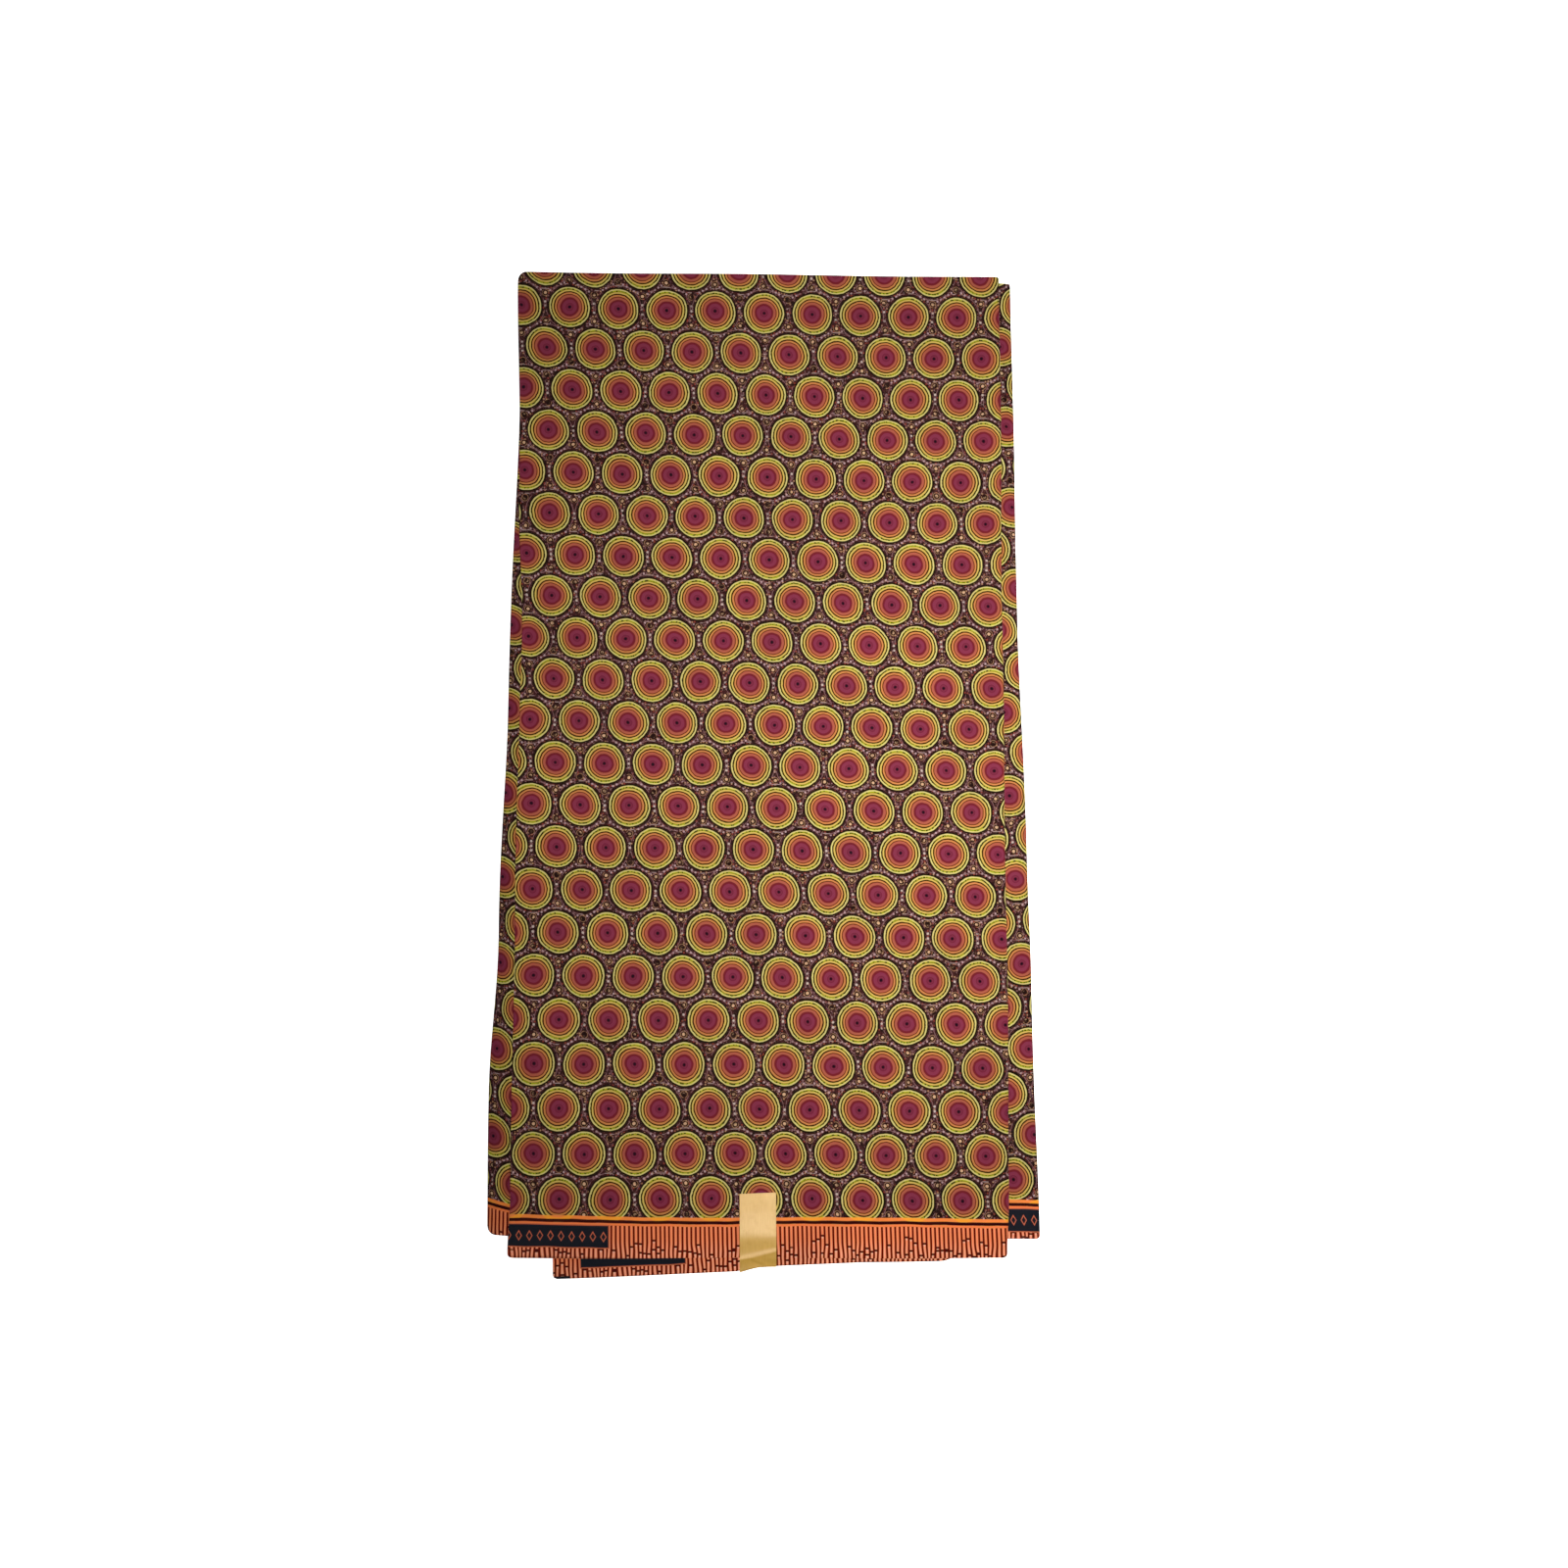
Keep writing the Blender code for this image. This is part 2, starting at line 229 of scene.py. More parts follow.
def fold_edge(number, y, leaf):
    """x of the outermost line of one side fold. leaf runs from 1, first, to -1, second."""
    corner = CORNERS.get(number, HIDDEN_CORNER)
    hems = fold_hems(number)
    hem = hems.first if leaf > 0.0 else hems.second
    inset = rounded(fold_top(number) - y, corner.top) + rounded(y - hem, corner.bottom)
    if number == 0:
        share = (1.0 - leaf) / 2.0
        return (1.0 - share) * eased(FRONT, y, "left") + share * eased(BACK, y, "left") + inset
    if number == 1:
        return eased(FRONT, y, "right") - inset
    if number == 2:
        return eased(SECOND, y, "left") + inset
    if number == 3:
        return eased(THIRD, y, "right") - inset
    behind = uneven(number // 2, SIDE_SPREAD, 0.4 + 2.5 * (number % 2)) + wander(number, y) + inset
    if number % 2:
        return eased(HIDDEN, y, "right") - behind
    return eased(HIDDEN, y, "left") + behind


print("fold 2 reaches", round(1000 * fold_edge(2, -0.2, 1.0), 1), "mm")

# %% [markdown]
# How the pack settles
#
# The straight pack is then bent as a whole: it is a little thicker toward its
# crosswise folds, its surface has slow waves and a few soft hollows, and cloth
# that reaches past what carries it droops. The heights are scaled rather than
# shifted, so layers never pass through each other.

# %% The settled pack
WEDGE = 0.18             # how much thicker the pack is, for each metre toward +Y
SWELL = 0.010            # share of the height that the slow waves add
DRIFT = 0.00025          # how far they move the cloth sideways
WAVE_LENGTH = 0.17
WAVE_TURN = 1.9
OVERHANG_START = -0.2745     # y past which nothing carries the selvedges
OVERHANG_SAG = 3.6
DROOP_SLOPE = 0.75       # of cloth that reaches past the sides of its support
DROOP_SOFTNESS = 0.006

Hollow = namedtuple("Hollow", "x y width length depth")

HOLLOWS = (
    Hollow(-0.139, 0.088, 0.011, 0.050, 0.085),
    Hollow(-0.052, 0.168, 0.022, 0.030, 0.030),
    Hollow(-0.048, -0.022, 0.026, 0.036, 0.018),
    Hollow(-0.142, -0.205, 0.014, 0.060, 0.045),
    Hollow(0.120, -0.120, 0.030, 0.060, 0.014),
    Hollow(0.080, 0.215, 0.040, 0.030, 0.016),
)


def beside(x, y):
    """How far a point lies past the sides of what carries it."""
    return max(0.0, eased(SUPPORT, y, "left") - x, x - eased(SUPPORT, y, "right"))


def settled(point):
    """Where a point of the straight pack lies once the cloth has settled."""
    x, y, z = point
    along = 2.0 * math.pi * y / WAVE_LENGTH
    across = 2.0 * math.pi * x / WAVE_LENGTH + WAVE_TURN
    share = 1.0 + WEDGE * y + SWELL * math.sin(across) * math.cos(along)
    for hollow in HOLLOWS:
        away = ((x - hollow.x) / hollow.width) ** 2 + ((y - hollow.y) / hollow.length) ** 2
        share -= hollow.depth * math.exp(-away)
    past = max(0.0, OVERHANG_START - y)
    droop = DROOP_SLOPE * (math.hypot(beside(x, y), DROOP_SOFTNESS) - DROOP_SOFTNESS)
    return Vector((x + DRIFT * math.sin(along), y + DRIFT * math.sin(across),
                   z * share - OVERHANG_SAG * past * past - droop))


def droop_length(x, y):
    """Extra length of the cloth on the slope between its support and a point."""
    reach = beside(x, y)
    bend = reach - DROOP_SOFTNESS * math.atan(reach / DROOP_SOFTNESS)
    return 0.5 * DROOP_SLOPE * DROOP_SLOPE * bend


fold_tip = Vector((-0.158, -0.2, TOP_PANELS[1].middle))
print("side fold droops by", round(1000 * (fold_tip - settled(fold_tip)).z, 1), "mm")

# %% [markdown]
# One rule for the whole cloth
#
# A place on the cloth has a column, which says how far along the zigzag it is,
# and a row, which says how far it is across the doubled cloth, from one selvedge
# over the crosswise fold to the other. In a side fold the middle line of the
# doubled cloth turns on a half circle. One leaf lies outside it and the other
# inside, and they change places at each fold, as they do in a real pack.

# %% Place of a point on the cloth
Column = namedtuple("Column", "panel share turn")   # turn is the angle in the fold after it
Row = namedtuple("Row", "leaf share turn")          # turn is the angle in the crosswise fold

FOLD_DEPTH = 0.9         # depth of a side fold, as a share of its half height
HALF_TURN = math.pi


def fold_centre(number, y, leaf):
    """x of the line that a side fold turns about, and its two half sizes."""
    if number in (0, PANELS):
        return fold_edge(number, y, leaf), 0.0, 0.0
    above, below = panel_row(number), panel_row(number + 1)
    high = (above.middle - below.middle) / 2.0
    deep = high * FOLD_DEPTH
    side = 1.0 if number % 2 else -1.0
    reach = deep + max(above.half, below.half) + LEAF / 2.0
    return fold_edge(number, y, leaf) - side * reach, deep, high


def place(column, row):
    """The straight point of a column and row, its unfolded x and the y of its hem."""
    number = column.panel
    turn_share = column.turn / HALF_TURN
    here, after = panel_row(number), panel_row(min(number + 1, PANELS))
    half = mix(here.half, after.half, turn_share)
    leaf = row.leaf * math.cos(row.turn)
    before_hems, after_hems = fold_hems(number - 1), fold_hems(number)
    side_name = 0 if row.leaf > 0 else 1
    hem = mix(before_hems[side_name], after_hems[side_name], column.share)
    top = mix(fold_top(number - 1), fold_top(number), column.share)
    if number == 1 and row.leaf < 0:
        left, right = eased(BACK, hem, "left"), eased(BACK, hem, "right")
        hem = edge_y(BACK_HEM, mix(left, right, column.share))
    turn_line = top - LEAF / 2.0 - half
    if row.turn:
        y = turn_line + half * math.sin(row.turn)
    else:
        y = mix(hem, turn_line, row.share)
    offset = half * leaf
    side = 1.0 if number % 2 else -1.0
    start, _, _ = fold_centre(number - 1, y, leaf)
    stop, deep, high = fold_centre(number, y, leaf)
    if not column.turn:
        x = mix(start, stop, column.share)
        return Vector((x, y, here.middle + side * offset)), x, hem
    angle = math.pi / 2.0 - column.turn
    outward = deep + side * offset
    x = stop + side * outward * math.cos(angle)
    z = (here.middle + after.middle) / 2.0 + (high + side * offset) * math.sin(angle)
    return Vector((x, y, z)), stop + side * (high + side * offset) * column.turn, hem


print("a point of the first fold", place(Column(1, 1.0, math.pi / 2), Row(1, 0.5, 0.0))[0])

# %% [markdown]
# Where the print lies
#
# Each leaf carries the print at its own place and slant, because the cloth was
# not folded quite square. A piece therefore has its own UV map "print", in metres
# of cloth: u runs along the length, v across the width. Damp folding has also
# pulled the discs of the front leaf by up to two millimetres, but not the lines of
# the selvedge, so those have a second map of their own. A sum of a few simple
# bends, one to a row of the table of pulls, moves the discs as the cloth did.

# %% Print places
PITCH = 0.0289           # distance between two discs of a row
HEM_LINE = -0.2856       # v of the cloth's first edge
WIDTH = 1.17             # width of the cloth
FAR_LINE = HEM_LINE + WIDTH

Print = namedtuple("Print", "u u_x u_y v v_x v_y v_xy line line_x")

FRONT_PRINT = Print(0.00789, 0.0030, 0.0271, 0.00198, 0.0166, 0.0041, 0.0235, 0.0004, 0.0)
BACK_PRINT = Print(-0.0323, 0.0, 0.0360, 0.0, 0.0, 0.0, 0.0, 0.0, 0.0)
SECOND_PRINT = Print(0.02146 - 2 * PITCH, 0.0, -0.0233, 0.02499, 0.2139, 0.0, 0.0, 0.0002, 0.0)
THIRD_PRINT = Print(0.01489 + 3 * PITCH, 0.0, 0.0631, 0.00124, -0.0515, 0.0075, 0.0,
                    -0.0112, 0.076)
LINE_WAVE = 0.0006       # the lines of the selvedge wave by this much
LINE_WAVES = 31.7
LINE_START = 2.61

DRIFT_REACH = (0.145, 0.29)     # half width and half length of the face that drifts
DRIFT_MOST = 1.05               # past this share of the reach the pull stays the same

Pull = namedtuple("Pull", "across_power along_power sideways up")

PULLS = (
    Pull(0, 0, -0.0002, -0.0002),
    Pull(1, 0, 0.0006, -0.0003),
    Pull(0, 1, 0.0009, -0.0036),
    Pull(0, 2, 0.0, -0.0008),
    Pull(1, 2, -0.0023, 0.0013),
    Pull(2, 1, 0.0, 0.0010),
    Pull(0, 3, -0.0015, 0.0078),
    Pull(0, 5, 0.0, -0.0027),
)


def drift(x, y):
    """How far folding has pulled the discs of the front leaf sideways and up."""
    across, along = (max(-DRIFT_MOST, min(DRIFT_MOST, part / reach))
                     for part, reach in zip((x, y), DRIFT_REACH))
    bends = [across ** pull.across_power * along ** pull.along_power for pull in PULLS]
    return (sum(bend * pull.sideways for bend, pull in zip(bends, PULLS)),
            sum(bend * pull.up for bend, pull in zip(bends, PULLS)))


def printed(rule, x, y, hem):
    """u and v of an unfolded point of a leaf, and its v for the lines of the selvedge."""
    u = x * (1.0 + rule.u_x) + rule.u + rule.u_y * y
    if rule is BACK_PRINT:
        return u, FAR_LINE - (y - hem), FAR_LINE - (y - hem)
    v = y * (1.0 + rule.v_y) + rule.v + rule.v_x * x + rule.v_xy * x * y
    wave = LINE_WAVE * math.sin(LINE_WAVES * x + LINE_START)
    line_v = v + rule.line + rule.line_x * x + wave
    sideways, up = drift(x, y) if rule is FRONT_PRINT else (0.0, 0.0)
    return u + sideways, v - up, line_v


print("print at the front leaf's middle",
      [round(part, 4) for part in printed(FRONT_PRINT, 0.0, 0.0, 0.0)])

# %% [markdown]
# Where a piece is cut into columns and rows
#
# A piece is a grid that is bent into place. Even steps would be simple, but an edge
# with a rounded corner or a steep slope needs closer ones, and a fold needs some of
# its own. So each piece takes even steps, adds a few near its edges and goes round
# its folds in equal angles.

# %% Columns and rows of a piece
SLOPE_SHARES = (0.008, 0.016, 0.024, 0.032, 0.04, 0.048)
END_SHARES = (0.0010, 0.0028, 0.0050, 0.0090, 0.0140, 0.0220, 0.0320, 0.0450)


def step_shares(steps, edge_shares):
    """Even steps from 0 to 1, with more of them near both ends."""
    even = {step / steps for step in range(steps + 1)}
    return sorted(even | set(edge_shares) | {1.0 - share for share in edge_shares})


def panel_columns(number, steps, fold_steps, edge_shares=()):
    """Columns across one panel and round the fold after it."""
    columns = [Column(number, share, 0.0) for share in step_shares(steps, edge_shares)]
    if number < PANELS:
        columns += [Column(number, 1.0, HALF_TURN * step / fold_steps)
                    for step in range(1, fold_steps)]
    return columns


def leaf_rows(steps, turn_steps, last=0.0, end_shares=()):
    """Rows from the first selvedge, over the crosswise fold, to the second one."""
    shares = step_shares(steps, end_shares)
    rows = [Row(1, share, 0.0) for share in shares]
    rows += [Row(1, 1.0, HALF_TURN * step / turn_steps) for step in range(1, turn_steps)]
    rows += [Row(-1, share, 0.0) for share in reversed(shares) if share >= last]
    return rows


print(len(leaf_rows(60, 6)), "rows from one selvedge to the other")

# %% [markdown]
# Soft creases
#
# Cloth from a bale keeps faint marks of the press and of hands. They could be
# simulated, but then they fall where they like. Here each one is listed
# as a soft trough or ridge with its own middle, slant, length and depth.

# %% Creases on the leaves
CREASE_BEND = 0.004      # no crease is quite straight
CREASE_BENDS = 60.0

Crease = namedtuple("Crease", "x y degrees length width height")

FRONT_CREASES = (
    Crease(-0.075, 0.205, 84.0, 0.070, 0.0050, 0.00016),
    Crease(-0.052, 0.162, 97.0, 0.045, 0.0060, -0.00022),
    Crease(0.046, 0.098, 6.0, 0.085, 0.0048, 0.00014),
    Crease(0.092, -0.041, 92.0, 0.120, 0.0055, 0.00013),
    Crease(-0.031, -0.036, 74.0, 0.060, 0.0062, -0.00018),
    Crease(0.008, -0.158, 3.0, 0.110, 0.0052, 0.00015),
    Crease(-0.098, -0.118, 58.0, 0.055, 0.0045, 0.00013),
    Crease(0.104, -0.231, 88.0, 0.040, 0.0050, -0.00016),
    Crease(-0.120, -0.262, 95.0, 0.030, 0.0040, 0.00020),
    Crease(0.055, 0.245, 12.0, 0.050, 0.0045, -0.00012),
    Crease(0.118, 0.150, 101.0, 0.075, 0.0050, -0.00014),
)


def crease_height(creases, x, y):
    """Height that soft creases add at one point."""
    total = 0.0
    for crease in creases:
        angle = math.radians(crease.degrees)
        dx, dy = x - crease.x, y - crease.y
        along = dx * math.cos(angle) + dy * math.sin(angle)
        across = dy * math.cos(angle) - dx * math.sin(angle)
        across += CREASE_BEND * math.sin(along * CREASE_BENDS + crease.x * 90.0)
        away = (2.0 * along / crease.length) ** 2 + (across / crease.width) ** 2
        total += crease.height * math.exp(-away)
    return total


print(len(FRONT_CREASES), "creases on the front leaf")

# %% [markdown]
# From a grid to a piece of cloth
#
# Each vertex of the grid gets its place from the one rule and its print from the
# same column and row, so a fold carries the print round with it. The wall is left
# to a live Solidify modifier, half to either side of the bent grid.

# %% Make a mesh piece
def piece_from(name, bm, thickness):
    """Turn a finished bmesh into an object with a live wall of some thickness."""
    mesh = bpy.data.meshes.new(name)
    bm.to_mesh(mesh)
    bm.free()
    mesh.shade_smooth()
    made = bpy.data.objects.new(name, mesh)
    bpy.context.scene.collection.objects.link(made)
    wall = made.modifiers.new("wall", "SOLIDIFY")
    wall.thickness, wall.offset = thickness, 0.0
    print(name, len(mesh.polygons), "faces")
    return made


# %% Build one piece of cloth
def print_place(rule, flat_x, y, hem, top, row, upper_leaf):
    """Print place of a point. The leaf that isn't seen runs on to the far selvedge."""
    if row.leaf == upper_leaf:
        return printed(rule, flat_x, y, hem)
    u, v, _ = printed(rule, flat_x, top, hem)
    v = mix(FAR_LINE, v, row.share)
    return u, v, v


def cloth_piece(name, columns, rows, rule, creases=(), upper_leaf=1):
    """A window on the folded cloth: a grid, put in place and given its print."""
    bm = bmesh.new()
    bmesh.ops.create_grid(bm, x_segments=len(columns) - 1, y_segments=len(rows) - 1, size=0.5)
    bm.verts.ensure_lookup_table()
    prints = []
    for vert in bm.verts:
        row_number, column_number = divmod(vert.index, len(columns))
        column, row = columns[column_number], rows[row_number]
        (x, y, z), flat_x, hem = place(column, row)
        flat_x += math.copysign(droop_length(x, y), x)
        prints.append(print_place(rule, flat_x, y, hem, fold_top(column.panel), row,
                                  upper_leaf))
        lift = crease_height(creases, x, y) if row.leaf == upper_leaf else 0.0
        vert.co = settled((x, y, z + lift))
    disc_map, line_map = bm.loops.layers.uv.new("print"), bm.loops.layers.uv.new("selvedge")
    for face in bm.faces:
        for loop in face.loops:
            u, v, line_v = prints[loop.vert.index]
            loop[disc_map].uv, loop[line_map].uv = (u, v), (u, line_v)
    bmesh.ops.recalc_face_normals(bm, faces=bm.faces)
    return piece_from(name, bm, LEAF)


# %% [markdown]
# The front leaf
#
# It is the face of the pack: the first leaf of the top panel. It has a fine grid,
# because it carries the creases and is seen from close by, and it goes on round
# the right side fold and over the crosswise fold.

# %% Front leaf and back leaf
UNDER_SHARE = 0.96       # where the front piece ends, just inside the crosswise fold
SIDE_SHARES = (0.002, 0.005, 0.010)

front_columns = panel_columns(1, 64, 10, SIDE_SHARES)
front_rows = leaf_rows(120, 8, UNDER_SHARE, END_SHARES)
front_leaf = cloth_piece("front_leaf_cloth", front_columns, front_rows, FRONT_PRINT,
                         FRONT_CREASES)

back_columns = panel_columns(1, 64, 8, SIDE_SHARES)
back_shares = sorted({UNDER_SHARE * step / 60 for step in range(61)} | set(END_SHARES))
back_rows = [Row(-1, share, 0.0) for share in reversed(back_shares)]
back_leaf = cloth_piece("back_leaf_cloth", back_columns, back_rows, BACK_PRINT, upper_leaf=-1)

# %% [markdown]
# The panels below
#
# The second panel shows down the left and the third down the right, both with their
# selvedge. Closer columns near their sides let them slope off the pack. The hidden
# ones show only as folds at the sides and edges at the ends. Fourteen pieces could
# be stacked, but one zigzag through them all is what the real cloth is.

# %% Second and third panel
side_rows = leaf_rows(60, 6, end_shares=END_SHARES)
second_columns = panel_columns(2, 30, 8, SLOPE_SHARES)
second_panel = cloth_piece("second_panel_cloth", second_columns, side_rows, SECOND_PRINT,
                           upper_leaf=-1)
third_columns = panel_columns(3, 30, 8, SLOPE_SHARES)
third_panel = cloth_piece("third_panel_cloth", third_columns, side_rows, THIRD_PRINT)

# %% Hidden panels
hidden_rows = leaf_rows(30, 4, end_shares=END_SHARES[::2])
hidden_columns = [column for number in range(4, PANELS)
                  for column in panel_columns(number, 12, 6)]
hidden_panels = cloth_piece("hidden_panels_cloth", hidden_columns, hidden_rows, FRONT_PRINT)
bottom_columns = panel_columns(PANELS, 24, 6)
bottom_panel = cloth_piece("bottom_panel_cloth", bottom_columns, hidden_rows, FRONT_PRINT,
                           upper_leaf=-1)

# %% [markdown]
# The foil label
#
# Sellers close the pack with a small strip of gold foil paper. It lies on the
# front leaf, steps down to the back leaf and turns under its hem, where pressing
# left a bright ridge and two curled creases. A bent grid with a few ridges added to
# its height gives the same lights as the real foil. Its first and last steps are
# kept very short, so that the smooth shading stays flat up to the cut edges.

# %% Foil label
LABEL_LEFT = -0.0138
LABEL_WIDTH = 0.0210
LABEL_TOP = -0.2500
LABEL_SKEW = 0.0008      # the top edge rises to the right
LABEL_PAPER = 0.00014
LABEL_CLEAR = 0.00022    # from the cloth's surface to the middle of the foil
LABEL_TUCK = 0.0090      # what lies under the hem
LABEL_TURN = 0.00045     # radius of the turn under the hem
LABEL_UV = 0.055         # length of its UV map
LABEL_COLUMNS = 20
LABEL_STEPS = 64
RIM_ACROSS = 1.1         # how much the grid is stretched before its rim is cut back
RIM_ALONG = 1.03

StepDown = namedtuple("StepDown", "start left right")

STEP_DOWN = StepDown(0.0006, 0.0075, 0.0048)   # start above the hem, length at either side

LABEL_BOTTOM = (        # its lowest edge, at shares of its width
    EdgePoint(0.0, -0.2946), EdgePoint(0.25, -0.2931), EdgePoint(0.50, -0.2920),
    EdgePoint(0.80, -0.2916), EdgePoint(1.0, -0.2916))

Ridge = namedtuple("Ridge", "share_a y_a share_b y_b width height")

RIDGES = (
    Ridge(-0.05, -0.2878, 1.10, -0.2819, 0.0012, 0.00046),
    Ridge(0.27, -0.2872, 0.62, -0.2908, 0.0006, -0.00030),
    Ridge(0.30, -0.2866, 0.72, -0.2900, 0.0008, 0.00030),
    Ridge(-0.30, -0.2952, 0.30, -0.2938, 0.0036, 0.00080),
    Ridge(-0.20, -0.2728, 1.20, -0.2740, 0.0065, 0.00100),
)


def ridge_height(share, y):
    """Height that the ridges and troughs add to the foil."""
    total = 0.0
    x = share * LABEL_WIDTH
    for ridge in RIDGES:
        ax, bx = ridge.share_a * LABEL_WIDTH, ridge.share_b * LABEL_WIDTH
        run_x, run_y = bx - ax, ridge.y_b - ridge.y_a
        reach = run_x * run_x + run_y * run_y
        along = ((x - ax) * run_x + (y - ridge.y_a) * run_y) / reach
        nearest = min(1.0, max(0.0, along))
        away = math.hypot(x - ax - nearest * run_x, y - ridge.y_a - nearest * run_y)
        total += ridge.height * math.exp(-(away / ridge.width) ** 2)
    return total


def label_point(share, way):
    """A point of the label, with way from 0 at its top to 1 at its tucked end."""
    x = LABEL_LEFT + share * LABEL_WIDTH
    front = TOP_PANELS[0].middle + TOP_PANELS[0].half
    back = TOP_PANELS[0].middle - TOP_PANELS[0].half
    surface = LEAF / 2.0 + LABEL_CLEAR
    top, bottom = LABEL_TOP + LABEL_SKEW * share, edge_y(LABEL_BOTTOM, share)
    flat = top - bottom - LABEL_TURN
    turn = math.pi * LABEL_TURN
    run = way * (flat + turn + LABEL_TUCK)
    if run <= flat:
        y = top - run
        slope = mix(STEP_DOWN.left, STEP_DOWN.right, share)
        step = soft_share(min(1.0, max(0.0, (y - bottom - STEP_DOWN.start) / slope)))
        return Vector((x, y, mix(back, front, step) + surface + ridge_height(share, y)))
    height = back + surface + ridge_height(share, bottom + LABEL_TURN)
    low = back - surface
    middle, radius = (height + low) / 2.0, (height - low) / 2.0
    if run <= flat + turn:
        angle = (run - flat) / LABEL_TURN
        return Vector((x, bottom + LABEL_TURN - LABEL_TURN * math.sin(angle),
                       middle + radius * math.cos(angle)))
    return Vector((x, bottom + LABEL_TURN + run - flat - turn, low))


def foil_strip():
    """A grid with a close rim, bent over the lower edge of the pack."""
    bm = bmesh.new()
    bmesh.ops.create_grid(bm, x_segments=LABEL_COLUMNS, y_segments=LABEL_STEPS, size=0.5)
    for vert in bm.verts:
        vert.co.x = max(-0.5, min(0.5, vert.co.x * RIM_ACROSS))
        vert.co.y = max(-0.5, min(0.5, vert.co.y * RIM_ALONG))
    layer = bm.loops.layers.uv.new("print")
    for face in bm.faces:
        for loop in face.loops:
            loop[layer].uv = (loop.vert.co.x * LABEL_WIDTH, -loop.vert.co.y * LABEL_UV)
    for vert in bm.verts:
        vert.co = settled(label_point(vert.co.x + 0.5, vert.co.y + 0.5))
    bmesh.ops.recalc_face_normals(bm, faces=bm.faces)
    return piece_from("foil_label_strip", bm, LABEL_PAPER)


foil_label = foil_strip()

# %% [markdown]
# Maths on shader sockets
#
# The print is too regular for a painted image and too lively for one texture, so
# it is worked out in the material. Written node by node, that would be hard to
# read. A small class wraps one socket, so a sum on it adds its own Math node.

# %% A socket that can be used in a sum
class Field:
    """One socket whose value varies over a surface."""

    def __init__(self, tree, socket=None):
        self.tree, self.socket = tree, socket

    def node(self, kind, settings, sockets, output=0):
        """Add any node: its settings first, then a value or a link for each socket."""
        made = self.tree.nodes.new(kind)
        for name, setting in settings.items():
            if name == "stops":
                set_stops(made.color_ramp, setting)
            else:
                setattr(made, name, setting)
        for name, value in sockets.items():
            if isinstance(value, Field):
                self.tree.links.new(value.socket, made.inputs[name])
            else:
                made.inputs[name].default_value = value
        return Field(self.tree, made.outputs[output])

    def maths(self, operation, *others):
        """Add a Math node with this field as its first value."""
        return self.node("ShaderNodeMath", {"operation": operation},
                         dict(enumerate((self, *others))))

    def __add__(self, other):
        return self.maths("ADD", other)

    __radd__ = __add__

    def __sub__(self, other):
        return self.maths("SUBTRACT", other)

    def __rsub__(self, other):
        return self.maths("MULTIPLY_ADD", -1.0, other)

    def __mul__(self, other):
        return self.maths("MULTIPLY", other)

    __rmul__ = __mul__

    def __truediv__(self, other):
        return self.maths("DIVIDE", other)

    def __abs__(self):
        return self.maths("ABSOLUTE")


def set_stops(ramp, stops):
    """Give a colour ramp its stops, in order."""
    while len(ramp.elements) > 1:
        ramp.elements.remove(ramp.elements[-1])
    for number, (position, colour) in enumerate(stops):
        element = ramp.elements[0] if number == 0 else ramp.elements.new(position)
        element.position, element.color = position, colour


# %% [markdown]
# Dyes and masks
#
# A printer thinks in dyes laid one over another through masks, and so does this
# shader. A dye is stated as the eye sees it and made darker by a fixed share, since
# the lamps add the rest. A mask is a soft step between two distances, which keeps
# the edges of the print clean at any size.

# %% Dyes and masks
DYE = 0.48               # share of a seen colour that is dye rather than light
JUMP = 3.7               # an odd distance between two samples of the same noise


def dye(red, green, blue, share=DYE):
    """The cloth's own colour from one seen on a screen, 0 to 255."""
    def linear(value):
        value /= 255.0
        return value / 12.92 if value <= 0.04045 else ((value + 0.055) / 1.055) ** 2.4
    return (linear(red) * share, linear(green) * share, linear(blue) * share, 1.0)


def rises(field, low, high):
    """A mask that goes smoothly from 0 at low to 1 at high, or back where low is larger."""
    turned = low > high
    return field.node("ShaderNodeMapRange", {"interpolation_type": "SMOOTHSTEP"},
                      {"Value": field, "From Min": min(low, high), "From Max": max(low, high),
                       "To Min": 1.0 if turned else 0.0, "To Max": 0.0 if turned else 1.0})


def near(field, middle, half, soft):
    """A mask that is 1 within half of middle, with a soft edge."""
    return rises(abs(field - middle), half + soft / 2.0, half - soft / 2.0)


def painted(under, colour, mask):
    """A colour laid over another where the mask is 1."""
    return mask.node("ShaderNodeMix", {"data_type": "RGBA"}, {0: mask, 6: under, 7: colour}, 2)


def noise(place, scale, detail=0.0, output=0):
    """Soft noise in the plane of the cloth, about 0.5."""
    return place.node("ShaderNodeTexNoise", {"noise_dimensions": "2D"},
                      {"Vector": place, "Scale": scale, "Detail": detail}, output)


def chance(place, shift=0.0):
    """An even random number for each whole number in place."""
    moved = place.node("ShaderNodeVectorMath", {"operation": "ADD"},
                       {0: place, 1: (shift, JUMP * shift, 0.0)})
    return moved.node("ShaderNodeTexWhiteNoise", {"noise_dimensions": "2D"}, {"Vector": moved})


def point_at(x, y):
    """Two fields as one place."""
    return x.node("ShaderNodeCombineXYZ", {}, {0: x, 1: y})


def split(place):
    """The two parts of a place."""
    return [place.node("ShaderNodeSeparateXYZ", {}, {0: place}, output) for output in (0, 1)]


print("the palest ring's dye", [round(part, 3) for part in dye(248, 230, 142)])

# %% [markdown]
# Discs in rows
#
# The print is a close pack of discs, each row shifted by half a disc. Such a pack
# is two plain grids laid over each other, so the shader finds the nearest disc of
# each grid and keeps the closer one. That gives a place within the disc's own
# cell, and everything in the repeat is drawn there once.

# %% Place within the cell of the nearest disc
ROW_REPEAT = math.sqrt(3.0)      # height of a plain grid's cell, in pitches
TALLER = 0.975                   # the discs are a little taller than wide


